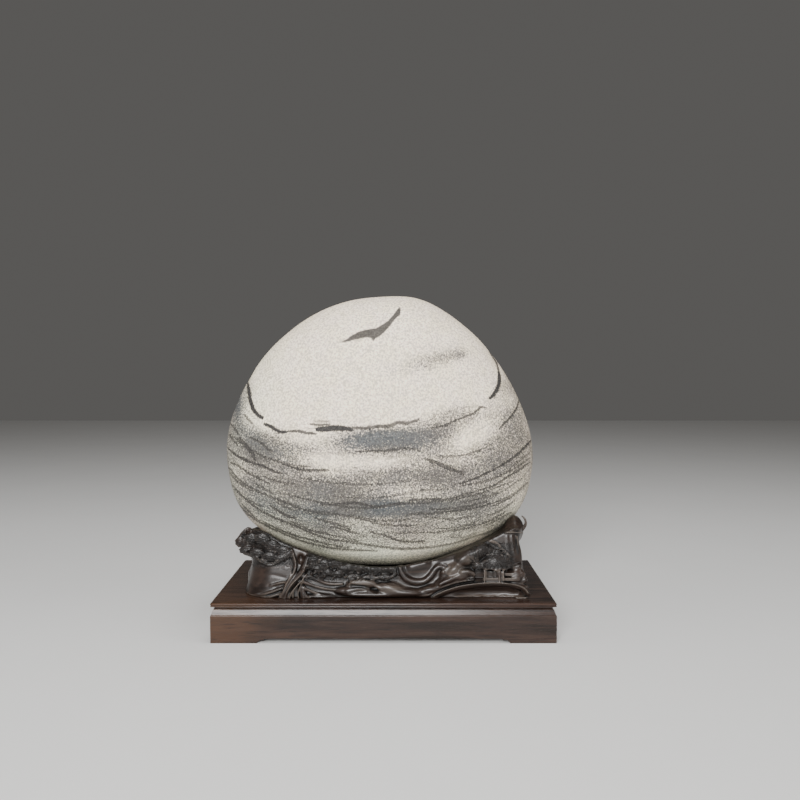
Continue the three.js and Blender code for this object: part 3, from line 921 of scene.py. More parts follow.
def carve_pine(clay):
    """Twisted pine at the front left, its foliage wrapping the corner."""
    trunk = [(285, 599, 0), (288, 590, 1), (295, 580, 2), (303, 571, 2), (308, 558, 1)]
    branch = [(287, 586, 2), (293, 575, 3), (295, 563, 3), (291, 550, 2)]
    right_foot = [(304, 600, 0), (302, 590, 1), (300, 579, 1)]
    stroke(clay, trunk, 6.0, 3.8, 2.0)
    stroke(clay, branch, 3.6, 2.2, 1.2)
    stroke(clay, right_foot, 4.6, 3.6, 1.6)
    bark = [
        [(280, 597, 3), (284, 590, 6), (287, 583, 7), (293, 574, 7),
         (296, 565, 6), (294, 556, 6), (291, 549, 4)],
        [(284, 600, 4), (287, 592, 7), (292, 584, 8), (299, 577, 8),
         (303, 572, 8), (306, 564, 6), (309, 555, 4)],
        [(289, 601, 4), (291, 593, 7), (297, 586, 8), (303, 579, 7), (307, 573, 6), (309, 566, 4)],
        [(299, 601, 4), (298, 593, 5), (301, 585, 6), (304, 578, 6)],
        [(304, 599, 4), (303, 591, 5), (306, 583, 4)],
        [(286, 585, 6), (290, 576, 7), (291, 567, 6), (288, 558, 4)],
        [(293, 598, 5), (294, 590, 8), (300, 582, 8)],
    ]
    for line in bark:
        stroke(clay, line, 1.3, 0.8, 0.5)
    roots = [
        ([(291, 586, 2), (283, 588, 1.5), (272, 592, 1), (262, 595, 0), (250, 597, -1)], 2.4, 1.0),
        ([(290, 591, 3), (280, 594, 2), (268, 597.5, 1), (256, 599, 0)], 2.2, 1.0),
        ([(292, 595, 3), (284, 598, 2.5), (274, 600, 2)], 2.4, 1.2),
        ([(289, 582, 2), (281, 583, 1), (270, 586, 0)], 1.6, 0.8),
        ([(304, 593, 3), (308, 598, 3), (311, 601, 2)], 2.4, 1.4),
        ([(303, 576, 4), (311, 577, 4), (320, 581, 3), (330, 584, 2), (343, 584, 2)], 2.8, 1.3),
        ([(304, 582, 4), (314, 586, 3), (326, 589, 2), (340, 590, 1)], 2.4, 1.0),
        ([(303, 588, 4), (313, 592, 3), (324, 596, 2), (334, 598, 1)], 2.2, 1.0),
    ]
    for points, start, end in roots:
        stroke(clay, points, start, end, 0.9)
        stroke(clay, [(px, py - 1.2, lift + 1.2) for px, py, lift in points], 0.9, 0.6, 0.4)
    knots = ((303.5, 570.5, 2.6), (311.5, 573.5, 2.4), (307, 578, 1.8), (308, 566, 1.8), (299.5, 583, 1.5))
    for px, py, size in knots:
        clay.add(lump(seen_at(px, py, 5.5), (size, size, size)), 0.5)
    fork = seen_at(300.5, 559, 2)
    clay.cut(lump(fork, (4.5, 6, 7)), 0.8)
    for corner, halves in (((-167, -34, 114), (13, 22, 13)), ((-171, -48, 111), (11, 14, 14))):
        clay.add(lump(corner, halves), 3.0)
    pads = [
        (245, 530, 8, 8, 0.3), (252, 538, 9, 7, -0.2), (263, 538, 10, 7, -0.3), (240.5, 541, 6, 7, 0.0),
        (273, 545, 10, 7, -0.3), (284, 550, 9, 6, -0.2), (247, 549, 9, 5.5, 0.1), (258, 552, 9, 6, -0.1),
        (270, 556, 10, 6, -0.1), (281, 557, 9, 5, 0.2), (288.5, 553, 6, 5, 0.5),
    ]
    for px, py, half_width, half_height, turn in pads:
        foliage_pad(clay, seen_at(px, py, 3.0), half_width, half_height, turn)
    underside = [
        (244, 554), (252, 557), (259, 561), (266, 564.5), (272.5, 565), (277.5, 563), (283, 559.5),
        (289, 557),
    ]
    ridges(clay, underside, (0.0, 2.6), 1.1, 6.0, 1.0)
    below = [(246, 560, 2), (258, 566, 3), (270, 569.5, 3), (280, 567.5, 3), (289, 562, 3)]
    groove(clay, below, 1.6)
    upper_needles = [
        [(243, 536), (241, 530), (242, 526)], [(246, 537), (245, 530), (246, 525)],
        [(249, 536), (249, 530), (250, 526)],
    ]
    for line in upper_needles:
        ridges(clay, line, (0.0,), 0.9, 7.5, 0.8)
    knobs = [
        (314, 559, 7, 5.5), (325, 563, 8, 6), (335.5, 563, 8, 6), (343, 568, 6, 5), (317, 568, 6.5, 5),
        (328, 572, 7, 4.5), (338, 573.5, 7, 4.5), (311, 566, 4, 4), (321, 576, 5, 3.5),
    ]
    for px, py, half_width, half_height in knobs:
        foliage_pad(clay, seen_at(px, py, 1.0), half_width, half_height)
    cones = ((322, 576), (333, 578), (345, 577), (315, 573), (328, 567), (339, 567), (319, 562))
    for cone in cones:
        clay.add(lump(seen_at(*cone, 4.5), (1.9, 1.9, 1.8)), 0.4)


def carve_clouds(clay):
    """Scrolled clouds under the middle of the rim, then one long curling wave."""
    heads = [
        (349.5, 568, 8, 6.5, 1), (361, 567.5, 9, 7.5, -1), (373.5, 568.5, 9.5, 8, 1),
        (386, 568.5, 9, 8, -1), (395.5, 570, 6.5, 7, 1), (354, 576, 9, 4, -1),
        (369, 577, 10, 4, 1), (384, 577, 10, 4, -1),
    ]
    for px, py, half_width, half_height, mirror in heads:
        cloud_head(clay, seen_at(px, py, 1.0), half_width, half_height, mirror)
    scallops = [
        (346, 578), (351, 579.5), (356, 578), (361, 580), (367, 578.5), (373, 580), (379, 578.5),
        (385, 579.5), (391, 578), (396, 574), (397.5, 568),
    ]
    ridges(clay, scallops, (0.0, 2.2), 1.0, 4.0, 1.0)
    below = [(346, 581.5), (360, 583), (375, 583), (388, 582), (398, 577), (400, 568)]
    groove(clay, below, 1.5, 3.0)
    wave = [
        (399.5, 562), (401, 570), (405, 577), (413, 581.5), (423, 581.5), (430, 576.5), (435.5, 569),
        (440, 566.5), (445.5, 569), (446.5, 574), (443.5, 574.5),
    ]
    swell = [(412, 567), (424, 563)]
    stroke(clay, swell, 9, 9, 3.0, -6)
    stroke(clay, wave, 4.6, 2.6, 1.5, 1.0)
    side = [
        (402, 562), (404, 570), (408, 575.5), (414, 578), (421, 577.5), (427, 573), (432.5, 566.5),
        (440, 563.5), (447, 566), (449.5, 574),
    ]
    under = [
        (396.5, 562), (397.5, 571), (401.5, 579.5), (411, 585.5), (423.5, 586), (433, 580), (438, 572.5),
        (441, 571),
    ]
    middle = [
        (399.3, 562), (401, 570.5), (405, 577.5), (413, 581.8), (422.5, 581.5), (429.5, 576.5),
        (435.5, 569.5), (441, 567),
    ]
    bowl = [(405, 563), (407, 569), (413, 573.5), (420, 573), (427, 567), (431, 562.5)]
    for line, depth, lift in ((side, 1.5, 3.4), (under, 1.5, 3.6), (middle, 0.8, 5.6), (bowl, 0.8, 2.6)):
        groove(clay, line, depth, lift, 0.4)
    curled_tip = seen_at(443.5, 572, 4)
    clay.add(lump(curled_tip, (3.0, 2.2, 2.8)), 0.4)


def carve_rocks(clay):
    """Smooth water-worn rock below the clouds and up the slope on the right."""
    masses = [
        ((362, 584, 1), (19, 8, 6.5), 0.05), ((391, 588, 2), (17, 8, 7), -0.2),
        ((376, 594, 3), (40, 6, 4), 0.0), ((346, 590, 0), (14, 6, 5), 0.1),
        ((404, 592, 3), (26, 7, 5), -0.05), ((430, 589, 1), (16, 7, 5), 0.2),
        ((452, 572, 0), (16, 8, 11), 0.5), ((462, 575, 2), (13, 7, 7), 0.4),
        ((466, 558, 0), (17, 8, 10), 0.5), ((478, 552, 0), (15, 8, 9), 0.5),
        ((447, 580, 1), (15, 7, 5), 0.3), ((475, 574, 1), (9, 6, 4), 0.2),
        ((446, 562, -4), (18, 7, 6), 0.3), ((320, 596, 0), (18, 5, 3), 0.0),
        ((462, 560, 4), (9, 5, 5), 0.6), ((454, 569, 4), (8, 5, 4), 0.5), ((474, 553, 3), (8, 5, 4), 0.4),
    ]
    for place, halves, turn in masses:
        clay.add(lump(seen_at(*place), halves, turn), 3.0)
    folds = [
        [(352, 582, 5), (362, 580.5, 6), (372, 583, 6), (381, 589, 6), (392, 591, 5)],
        [(348, 591, 4), (360, 589, 5), (372, 592, 4)],
        [(462, 572, 8), (470, 572, 9), (477, 576, 7)],
        [(440, 584, 7), (449, 580, 8), (458, 576, 7)],
    ]
    for line in folds:
        stroke(clay, line, 2.6, 1.5, 3.4)
    hollows = [
        [(383, 579, 6), (389, 583, 7), (398, 585, 7)], [(352, 586, 6), (366, 587, 7), (376, 592, 7)],
        [(444, 575, 7), (450, 567, 8), (456, 560, 7)], [(464, 566, 9), (472, 562, 9), (480, 557, 8)],
        [(432, 585, 6), (440, 580, 7), (446, 575, 7)],
    ]
    for line in hollows:
        groove(clay, line, 1.6, 0.0, 3.0)
    seams_in_left_block = ((576.5, 260, 284), (585.5, 254, 276))
    for py, start, end in seams_in_left_block:
        line = [(start, py, 1.6), ((start + end) / 2, py - 1.4, 1.6), (end, py + 1.0, 1.0)]
        groove(clay, line, 1.2, 0.0, 2.6)


def carve_pavilion(clay):
    """Thatched pavilion on its terrace, with trees beside it and a ridge above."""
    hill = [(487, 538.5), (493, 540.5), (499, 544), (504, 549), (508, 553), (511, 556)]
    ridges(clay, hill, (-2.6, 0.0), 1.3, 3.0, 0.9)
    beside_hill = [
        [(490, 537.5, 2), (497, 540, 3), (503, 545, 4), (509, 551, 4), (513, 556, 3)],
        [(486, 542, 2), (493, 545, 3), (500, 549, 4), (506, 555, 4)],
    ]
    for line in beside_hill:
        groove(clay, line, 1.3)
    crown = [
        (480, 548, 7, 5), (488, 550, 7, 5), (497, 552.5, 6, 4.5), (505, 558, 6, 5), (509, 565, 5, 5),
        (478, 566, 7, 4.5), (485, 563, 6, 4.5), (474, 560, 5, 4), (491, 557, 5, 4),
    ]
    for px, py, half_width, half_height in crown:
        foliage_pad(clay, seen_at(px, py, 1.0), half_width, half_height)
    space_for_pavilion = seen_at(495.5, 566, 6)
    clay.cut(lump(space_for_pavilion, (17, 5, 10)), 1.2)
    roof = seen_at(495.5, 554.5, 3.0)
    clay.add(lump(roof + np.array([0, 0, -13.5]), (18, 8, 13.5), 0.0, needles(19, 0.7, 12.0)), 0.5)
    clay.cut(block(roof + np.array([0, -4, -24.5]), (26, 10, 7)), 0.8)
    half_eave = [(18, -2, -15.5), (12, -5, -17.5), (6, -6.5, -16.5)]
    steps = [(-x, y, z) for x, y, z in half_eave] + [(0, -7, -18.2)] + half_eave[::-1]
    clay.add(limb([roof + np.array(step) for step in steps], 1.2, 1.2), 0.4)
    room = seen_at(494, 576, 0.5)
    window = seen_at(492, 575.5, 6)
    window_bar = seen_at(492, 575.5, 4.2)
    clay.add(block(room, (11, 5, 7), 0.5), 0.4)
    clay.cut(block(window, (6.2, 2.0, 4.4), 0.3), 0.3)
    clay.add(block(window_bar, (0.7, 1.2, 4.4), 0.3), 0.3)
    posts = (484.5, 499.5, 503.5)
    for px in posts:
        stroke(clay, [(px, 570), (px, 581)], 1.2, 1.2, 0.4, 6)
    terrace = [(483, 580.5), (495, 580.5), (508, 580.5), (519, 580)]
    railing = [(504, 575.5), (512, 575.8), (520, 576.5)]
    ridges(clay, terrace, (0.0, 2.4), 1.15, 4.5, 1.0)
    ridges(clay, railing, (0.0, 2.6), 1.1, 3.0, 1.0)
    rock_behind = seen_at(515, 579, -9)
    clay.add(lump(rock_behind, (11, 13, 20), -0.15), 3.0)
    rubble = [
        (517, 567, 5, 3.6, 0.3), (521, 573.5, 5, 3.4, -0.4),
        (523.5, 580, 4.6, 3.2, 0.5), (524, 586.5, 5, 3, -0.2),
    ]
    for px, py, half_width, half_height, turn in rubble:
        clay.add(block(seen_at(px, py, -2.5), (half_width, 5, half_height), 2.0, turn), 1.2)


def carve_bridge(clay):
    """Double arched bridge over a dark hollow with stones in it."""
    hollow = seen_at(487, 594, 4)
    clay.cut(lump(hollow, (46, 9, 8.5)), 1.5)
    deck = [
        (433, 597.5), (441, 593.5), (455, 588.5), (470, 585.5), (486, 584), (500, 584),
        (514, 585.5), (523, 588.5), (528, 594),
    ]
    stroke(clay, deck, 3.2, 3.2, 0.8, 2.0)
    ridges(clay, deck, (1.2,), 1.1, 6.3, 1.0, 0.3)
    bank = [(419, 595), (429, 594), (436, 589.5), (446, 585), (458, 581.5), (470, 579.5), (480, 579)]
    stroke(clay, bank, 3.4, 2.6, 1.0, 1.5)
    ridges(clay, bank, (-1.3, 1.5), 1.0, 5.8, 0.9, 0.3)
    between_arches = [(430, 598), (440, 590.5), (452, 585.5), (466, 582.5), (482, 581.8)]
    groove(clay, between_arches, 0.9, 5)
    sill = [(434, 599, 3), (450, 599.5, 3), (480, 599.5, 3), (510, 599.5, 3), (528, 598, 2)]
    stroke(clay, sill, 1.2, 1.2, 0.5)
    stones = [(477, 596.5, 9, 2.2), (490, 597.0, 9, 1.8), (503, 596.0, 8, 2.4)]
    for px, py, half_width, half_height in stones:
        clay.add(lump(seen_at(px, py, -6.8), (half_width, 4, half_height), 0.15), 1.6)
    step = seen_at(521, 597.5, 0.5)
    clay.add(block(step, (7.5, 4.5, 1.4)), 0.5)


def carve_right_corner(clay):
    """Plain panel at the right corner, a flat shoulder and a curl above it."""
    panel = (167, -68, 88)
    shoulder = (166, -42, 126)
    clay.add(lump(panel, (7, 7, 26)), 4.0)
    clay.add(lump(shoulder, (13, 20, 18)), 6.0)
    ledge = [(501, 532), (510, 532.3), (523, 532.8)]
    ridges(clay, ledge, (0.0,), 1.1, 1.2, 1.0)
    for px in (507, 512, 517):
        flute = [(px, 536), (px + 1, 545), (px + 2, 553)]
        ridges(clay, flute, (0.0,), 1.2, -0.5, 0.7, 1.2)
    curl = [(169, -58, 125), (176, -55, 128), (180.5, -52, 134), (180, -49, 140), (176, -47, 144)]
    clay.add(limb(curl, 2.6, 1.2), 1.2)


def carve_ends(clay):
    """Worn rock strata on the two short ends."""
    masses = (
        (-28, 66, 26, 12), (22, 70, 28, 15), (-6, 94, 24, 12), (38, 98, 18, 14), (-36, 92, 14, 12),
        (6, 58, 40, 8),
    )
    for side in (-1, 1):
        for y, z, half_y, half_z in masses:
            rise = (z - SEAT_BOTTOM) / (SEAT_REACH - SEAT_BOTTOM)
            x = side * SEAT_HALF_LENGTH * (1 - SEAT_PINCH * math.sin(math.pi * rise))
            clay.add(lump((x - side * 3, y, z), (7, half_y, half_z)), 4.0)
        for z in (58, 72, 84, 97, 109):
            turns = ((176, -44, 3), (179, -14, -2), (178, 16, 2), (176, 46, -3))
            seam = [(side * x, y, z + lift) for x, y, lift in turns]
            clay.cut(limb(seam, 1.7, 1.2), 2.5)
    left_lumps = ((-32, 110), (-12, 106), (9, 103), (30, 106))
    for y, z in left_lumps:
        clay.add(lump((-178, y, z), (6, 12, 8)), 3.0)
        clay.add(lump((-182, y - 5, z - 5), (4, 7, 5)), 2.0)


def carve_back(clay):
    """Quieter relief behind: rocks at the ends and a row of clouds under the rim."""
    masses = [
        ((-56, 61), (34, 8, 10), 0.05), ((0, 58), (38, 8, 8), 0.0), ((60, 61), (34, 8, 10), -0.05),
    ]
    for side in (-1, 1):
        masses += [
            ((side * 142, 65), (30, 9, 12), -0.2 * side), ((side * 150, 88), (20, 8, 11), 0.4 * side),
            ((side * 122, 79), (24, 9, 10), -0.4 * side), ((side * 98, 61), (26, 8, 10), 0.1 * side),
            ((side * 138, 106), (18, 7, 8), -0.3 * side), ((side * 164, 74), (10, 8, 15), 0.1 * side),
        ]
    for place, halves, turn in masses:
        clay.add(lump(on_back(*place, 0), halves, turn), 4.0)
    random = np.random.default_rng(12)
    for index, x in enumerate(np.arange(-100, 101, 16.5)):
        rise = (x / 84) ** 2
        mirror = 1 if index % 2 else -1
        size = random.uniform(0.8, 1.25)
        lift = random.uniform(-2, 2)
        upper = on_back(x, 80 + 13 * rise + lift, 0.5)
        lower = on_back(x + 8, 69 + 11 * rise - lift, 0.8)
        cloud_head(clay, upper, 10 * size, 7.5 * size, mirror, facing=1.0)
        cloud_head(clay, lower, 11 / size, 5 / size, -mirror, facing=1.0)
    for side in (-1, 1):
        for step in range(4):
            x = side * (112 + 12 * step)
            turns = ((0, 54, 5), (5, 70, 8), (2, 88, 7), (8, 104, 4))
            seam = [on_back(x + side * outward, z, proud) for outward, z, proud in turns]
            clay.cut(limb(seam, 1.5, 1.0), 2.0)


def soften(field):
    """Rounds the sharpest carved edges a little, as hand finishing does."""
    for axis in range(3):
        body = np.moveaxis(field, axis, 0)
        body[1:-1] = 0.25 * body[:-2] + 0.5 * body[1:-1] + 0.25 * body[2:]
    return field


def carved_seat():
    clay = Clay(*CLAY_SPACE, SEAT_VOXEL)
    clay.add(seat_block(), 0.5)
    carve_rocks(clay)
    carve_back(clay)
    carve_ends(clay)
    carve_right_corner(clay)
    carve_bridge(clay)
    carve_pavilion(clay)
    carve_clouds(clay)
    carve_pine(clay)
    clay.cut(over_rim(), 1.5)
    clay.cut(stone_socket(), 0.4)
    floor = SEAT_BOTTOM - clay.axes[2][None, None, :]
    clay.field = np.maximum(soften(clay.field), floor).astype(np.float32)
    return clay


def mesh_of(clay):
    """Points and quads of the surface where the distances are zero."""
    grid = openvdb.FloatGrid(FAR)
    grid.copyFromArray(clay.field)
    grid.transform = openvdb.createLinearTransform(voxelSize=clay.step)
    points, quads = grid.convertToQuads(0.0)
    return np.array(points) + clay.low, np.array(quads)


def thinned(piece, points, triangles):
    """Collapses the flattest edges, less in front, until at most that many triangles are left."""
    count = sum(len(face.vertices) - 2 for face in piece.data.polygons)
    group = piece.vertex_groups.new(name="thin_more")
    in_front = points[:, 1] <= CARVED_FRONT
    for chosen, weight in ((~in_front, 1.0), (in_front, FRONT_THINNING)):
        group.add(np.flatnonzero(chosen).tolist(), weight, "REPLACE")
    modifier = piece.modifiers.new("thin", "DECIMATE")
    modifier.vertex_group = group.name
    modifier.ratio = triangles / count
    evaluated = piece.evaluated_get(bpy.context.evaluated_depsgraph_get())
    mesh = bpy.data.meshes.new_from_object(evaluated)
    mesh.validate()
    mesh.shade_smooth()
    piece.modifiers.clear()
    piece.data = mesh


# Colours of the wood, and its middle shade in the seat and in the plinth
DARK_VEINS = (0.010, 0.006, 0.005)
# painted shade, for crevices, fine grooves and the foliage
PAINTED_CREVICE_SHADE = (0.006, 0.005, 0.0045)
# pale wood on ridges, partly wear and partly a painted highlight
PALE_WEAR_AND_HIGHLIGHT = (0.15, 0.122, 0.100)
SEAT_SHADE = (0.023, 0.0145, 0.0108)
PLINTH_SHADE = (0.029, 0.0160, 0.0115)


def wood_material(name, shade, ridge_wear_and_highlight=0.0, golden_end=0.0):
    """Dark oiled rosewood with fine grain along X. On the seat, ridges are paler, partly wear and partly
    painted highlight, some bare rock has a painted sheen, and crevices and the fine carving take painted
    shade.
    """
    shader = Shader(name)
    place = shader.millimetres()
    long_grain = shader.vector("MULTIPLY", place, (0.035, 0.5, 0.5))
    fibre = shader.noise(long_grain, 1.0, detail=5, roughness=0.62, distortion=0.6)
    pores = shader.noise(shader.vector("MULTIPLY", place, (0.12, 1.9, 1.9)), 1.0, detail=2)
    wide_grain = shader.vector("MULTIPLY", place, (0.006, 0.09, 0.09))
    bands = shader.noise(wide_grain, 1.0, detail=3, distortion=1.2)
    dark = tuple(0.45 * value for value in shade)
    rich = tuple(1.55 * value for value in shade)
    base = shader.mix(shader.ramp(bands, 0.32, 0.68), dark, rich)
    parts = shader.node("ShaderNodeSeparateXYZ", {"Vector": place})
    drift = shader.times(shader.noise(place, 60, detail=2), 160.0)
    golden = shader.ramp(shader.plus(parts.outputs["X"], drift), -20, -170, 0.0, golden_end)
    base = shader.mix(golden, base, (2.4 * shade[0], 2.1 * shade[1], 1.5 * shade[2]))
    veins = shader.mix(shader.ramp(fibre, 0.5, 0.72), base, DARK_VEINS)
    rough = shader.ramp(fibre, 0.3, 0.75, 0.22, 0.34)
    shallow = shader.bump(fibre, 0.12, 0.5)
    if ridge_wear_and_highlight:
        leafy = shader.attribute("leafy")
        swirl = shader.noise(place, 13, detail=1.0, distortion=0.8)
        strands = shader.math("SINE", shader.times(swirl, 62.0))
        gouged = shader.times(shader.ramp(strands, 0.5, -0.6), leafy)
        # Paler ridges: partly wear, partly a painted highlight
        wear_and_highlight = shader.ramp(shader.attribute("ridge"), 0.3, 0.85, 0.0, ridge_wear_and_highlight)
        veins = shader.mix(wear_and_highlight, veins, PALE_WEAR_AND_HIGHLIGHT)
        # Painted shade: darker in enclosed crevices, in the fine grooves and over the pine, clouds and
        # trees
        groove_and_foliage_shade = shader.plus(shader.times(gouged, 0.5), shader.times(leafy, 0.45))
        closed = shader.ramp(shader.attribute("openness"), 0.25, 0.92, 1.0, 0.0)
        crevice_shade = shader.larger(closed, groove_and_foliage_shade)
        veins = shader.mix(crevice_shade, veins, PAINTED_CREVICE_SHADE)
        rough = shader.plus(rough, shader.times(crevice_shade, 0.17))
        rough = shader.plus(rough, 0.06)
        shallow = shader.bump(gouged, -0.9, 0.9, shallow)
    return shader.finished({
        "Base Color": veins,
        "Roughness": rough,
        "Specular IOR Level": 0.42 if ridge_wear_and_highlight else 0.32,
        "Coat Weight": 0.08 if ridge_wear_and_highlight else 0.16,
        "Coat Roughness": 0.16,
        "Normal": shader.bump(pores, 0.06, 0.5, shallow),
    })


# In the photograph's pixels: boxes (left, top, right, bottom) round the pine, the clouds with the
# pine's right side, and the trees; and ellipses (middle, half sizes) where a sheen highlight is painted on
# bare rock
LEAFY_BOXES = ((230, 520, 292, 566), (307, 552, 399, 581), (470, 543, 514, 569))
PAINTED_SHEEN_SPOTS = ((472, 560, 15, 7), (455, 570, 12, 7), (392, 588, 16, 6), (361, 582, 14, 5))
# How far outside and inside the surface the seat's distances are read, in millimetres
OUTWARD_REACH = 2.2
INWARD_REACH = 2.0


def between(low, high, value, fade=2):
    """1 inside a range and 0 outside it, with soft ends."""
    return smoothstep(low - fade, low + fade, value) * smoothstep(high + fade, high - fade, value)


def on_front(points):
    return smoothstep(-55, -66, points[:, 1])


def leafy_places(points):
    """How far each point belongs to the pine, the clouds or the trees, whose carving is finest."""
    x, y = project(points).T
    leafy = np.zeros(len(points))
    for left, top, right, bottom in LEAFY_BOXES:
        leafy = np.maximum(leafy, between(left, right, x) * between(top, bottom, y))
    across, deep, up = points.T
    rise = (across / 84) ** 2
    row = smoothstep(58, 64, up - 10 * rise) * smoothstep(90, 84, up - 13 * rise)
    clouds_behind = row * smoothstep(112, 100, np.abs(across)) * smoothstep(60, 70, deep)
    return leafy * on_front(points) + clouds_behind


def painted_sheen_places(points):
    """Soft patches of painted sheen highlight, paler, on the bare rocks."""
    x, y = project(points).T
    sheen = np.zeros(len(points))
    for px, py, half_width, half_height in PAINTED_SHEEN_SPOTS:
        spot = np.exp(-((x - px) / half_width) ** 2 - ((y - py) / half_height) ** 2)
        sheen = np.maximum(sheen, spot)
    return sheen * on_front(points)


def make_seat():
    clay = carved_seat()
    points, quads = mesh_of(clay)
    seat = new_object("carved_seat", points, quads)
    thinned(seat, points, SEAT_TRIANGLES)
    place = vertex_values(seat, "co") / MM
    normal = vertex_values(seat, "normal")
    set_attribute(seat, "openness", clay.sample(place + OUTWARD_REACH * normal) / OUTWARD_REACH)
    ridge = 1 + clay.sample(place - INWARD_REACH * normal) / INWARD_REACH
    # The ridge value paints ridges pale, as wear and highlight; the sheen spots add a painted sheen
    # highlight on the bare rock
    set_attribute(seat, "ridge", ridge + 0.7 * painted_sheen_places(place))
    # leafy marks where the material paints shade over the fine carving and adds fine grooves
    set_attribute(seat, "leafy", leafy_places(place))
    seat.data.materials.append(wood_material("carved_rosewood", SEAT_SHADE, ridge_wear_and_highlight=0.38))
    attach(seat, "root")
    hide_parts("seat")


# Plinth
def rounded_path(corners, radius, steps=4):
    """A closed outline with each corner turned into a short arc."""
    corners = np.array(corners, dtype=float)
    outline = []
    for index, corner in enumerate(corners):
        before = corners[index - 1] - corner
        after = corners[(index + 1) % len(corners)] - corner
        cut = min(radius, 0.45 * np.linalg.norm(before), 0.45 * np.linalg.norm(after))
        a = corner + before / np.linalg.norm(before) * cut
        b = corner + after / np.linalg.norm(after) * cut
        for t in np.linspace(0, 1, steps):
            outline.append((1 - t) ** 2 * a + 2 * t * (1 - t) * corner + t * t * b)
    return np.array(outline)


def grid_solid(name, sections):
    """A closed solid through sections that all have the same number of points."""
    count = len(sections[0])
    points = np.vstack(sections)
    faces = []
    for row in range(len(sections) - 1):
        for index in range(count):
            following = (index + 1) % count
            faces.append((row * count + index, row * count + following,
                          (row + 1) * count + following, (row + 1) * count + index))
    faces.append(tuple(range(count - 1, -1, -1)))
    faces.append(tuple((len(sections) - 1) * count + index for index in range(count)))
    return new_object(name, points, faces)


def foot_line(distance):
    """Height of the rail's lower edge at a distance in from where a foot ends."""
    step = np.clip(distance / 6.0, 0, 1)
    lower = 3.9 * (1 - (1 - step) ** 2.2)
    return np.where(distance > FOOT_NOTCH, FOOT_HEIGHT, np.where(distance > 0, lower, 0.0))


def make_rail(node, length, outer, foot, turn):
    """One mitred rail with its bevelled waist above and bracket feet below."""
    inner = outer - APRON_THICKNESS
    neck = outer - WAIST_RECESS
    top = PLINTH_HEIGHT - BOARD_THICKNESS - GAP
    arris = APRON_ARRIS_HEIGHT
    corners = [
        (inner, 0.0), (outer, 0.0), (outer, arris), (outer - 0.9, arris + 1.2), (outer - 1.9, arris + 4.0),
        (neck, arris + 7.3), (neck - 3.0, arris + 7.7), (neck - 3.0, top), (inner, top),
    ]
    profile = rounded_path(corners, 0.55)
    half = length / 2
    feet_end = half - foot
    curve = np.linspace(0, 12, 17)
    notch = FOOT_NOTCH + np.array([-0.01, 0.01])
    stations = np.unique(np.concatenate([
        [-half, -feet_end, feet_end, half],
        curve - feet_end, feet_end - curve, notch - feet_end, feet_end - notch,
        np.linspace(-feet_end + 14, feet_end - 14, 9),
    ]))
    sections = []
    for station in stations:
        lift = float(foot_line(feet_end - abs(station)))
        out, height = profile[:, 0], profile[:, 1]
        height = np.where(height < 4.0, height + lift, np.maximum(height, 4.0 + lift))
        mitre = (outer - out) * np.clip((abs(station) - feet_end) / foot, 0, 1) + 0.1
        along = np.sign(station) * np.maximum(abs(station) - mitre, 0)
        sections.append(np.stack([along, -out, height], 1))
    rail = grid_solid(node.replace("apron", "rail"), sections)
    rotate_mesh(rail, turn)
    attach(rail, "root")
    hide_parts(node)
    return rail


def rotate_mesh(piece, turn):
    """Turns a piece's points about the upright axis through the origin."""
    x, y, z = vertex_values(piece, "co").T
    cosine, sine = math.cos(turn), math.sin(turn)
    turned = np.stack([x * cosine - y * sine, x * sine + y * cosine, z], 1)
    piece.data.vertices.foreach_set("co", turned.ravel())
    piece.data.update()


def make_board():
    """The thin top board: a rounded upper edge over a fine bead."""
    low = PLINTH_HEIGHT - BOARD_THICKNESS
    edge = [
        (3.6, 0.0), (3.5, 1.1), (0.9, 1.2), (0.15, 1.5), (0.0, 2.0), (0.3, 2.6), (0.9, 2.9),
        (0.9, 3.2), (0.2, 3.4), (0.0, 3.9), (0.0, 4.7), (0.35, 5.5), (1.0, 5.9), (2.0, 6.0),
    ]
    corner = 1.2
    sections = []
    for inset, rise in edge:
        x = PLINTH_LENGTH / 2 - inset - corner
        y = PLINTH_DEPTH / 2 - inset - corner
        ring = []
        for cx, cy, start in ((x, -y, -90), (x, y, 0), (-x, y, 90), (-x, -y, 180)):
            for angle in np.radians(start + np.linspace(0, 90, 5)):
                ring.append((cx + corner * math.cos(angle), cy + corner * math.sin(angle), low + rise))
        sections.append(np.array(ring))
    board = grid_solid("top_board", sections)
    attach(board, "root")
    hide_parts("plinth_board")
    return board


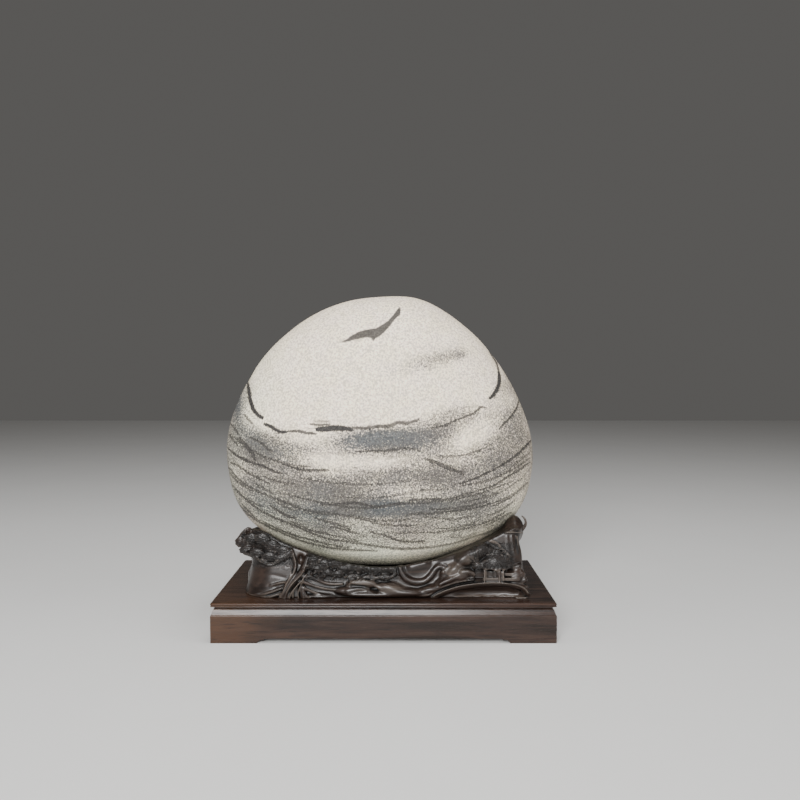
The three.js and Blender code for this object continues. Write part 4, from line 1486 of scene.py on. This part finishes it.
def make_plinth():
    material = wood_material("polished_rosewood", PLINTH_SHADE, golden_end=0.8)
    pieces = [make_board()]
    for node, length, outer, foot, turn in (
        ("apron_front", PLINTH_LENGTH, PLINTH_DEPTH / 2, LONG_FOOT, 0.0),
        ("apron_right", PLINTH_DEPTH, PLINTH_LENGTH / 2, SHORT_FOOT, math.pi / 2),
        ("apron_back", PLINTH_LENGTH, PLINTH_DEPTH / 2, LONG_FOOT, math.pi),
        ("apron_left", PLINTH_DEPTH, PLINTH_LENGTH / 2, SHORT_FOOT, -math.pi / 2),
    ):
        pieces.append(make_rail(node, length, outer, foot, turn))
    for piece in pieces:
        piece.data.materials.append(material)
        bpy.context.view_layer.objects.active = piece
        piece.data.set_sharp_from_angle(angle=math.radians(35))


# Stage, in metres: each light's name, place, the height that it aims at, width, height and watts
LIGHTS = (
    ("front", (-0.35, -2.35, 1.2), 0.2, 1.3, 1.1, 88),
    ("top", (0.1, -0.35, 2.1), 0.3, 1.0, 1.0, 19),
    ("side", (1.7, -0.7, 1.1), 0.2, 0.9, 0.9, 8),
    ("left", (-1.8, -0.5, 1.2), 0.2, 0.9, 0.9, 6),
    ("low", (0.0, -2.9, 0.6), 0.15, 3.0, 0.8, 7),
)


def make_stage():
    half = 4000
    corners = [(-half, -half, 0), (half, -half, 0), (half, half, 0), (-half, half, 0)]
    floor = new_object("floor", corners, [(0, 1, 2, 3)])
    shader = Shader("pale_floor")
    cloudy = shader.noise(shader.millimetres(), 180, detail=3)
    floor.data.materials.append(shader.finished({
        "Base Color": shader.mix(cloudy, (0.76, 0.755, 0.74), (0.80, 0.795, 0.78)),
        "Roughness": 0.75,
    }))

    world = bpy.data.worlds.new("studio")
    bpy.context.scene.world = world
    world.use_nodes = True
    world.node_tree.nodes["Background"].inputs["Color"].default_value = (0.105, 0.102, 0.098, 1)
    for name, place, aim_height, width, height, power in LIGHTS:
        light = bpy.data.lights.new(name, "AREA")
        light.energy = power
        light.shape = "RECTANGLE"
        light.size = width
        light.size_y = height
        lamp = bpy.data.objects.new(name, light)
        lamp.location = place
        direction = Vector((0, 0, aim_height)) - lamp.location
        lamp.rotation_euler = direction.to_track_quat("-Z", "Y").to_euler()
        bpy.context.scene.collection.objects.link(lamp)


def make_camera():
    camera = bpy.data.cameras.new("camera")
    camera.sensor_width = 36.0
    camera.lens = 36.0 * FOCAL_PX / IMAGE_PX
    camera.clip_end = 50.0
    eye = bpy.data.objects.new("camera", camera)
    eye.location = tuple(CAMERA_PLACE * MM)
    eye.rotation_euler = (math.pi / 2 - PITCH, 0.0, 0.0)
    bpy.context.scene.collection.objects.link(eye)
    bpy.context.scene.camera = eye


make_camera()
make_stage()
make_stone()
make_plinth()
make_seat()
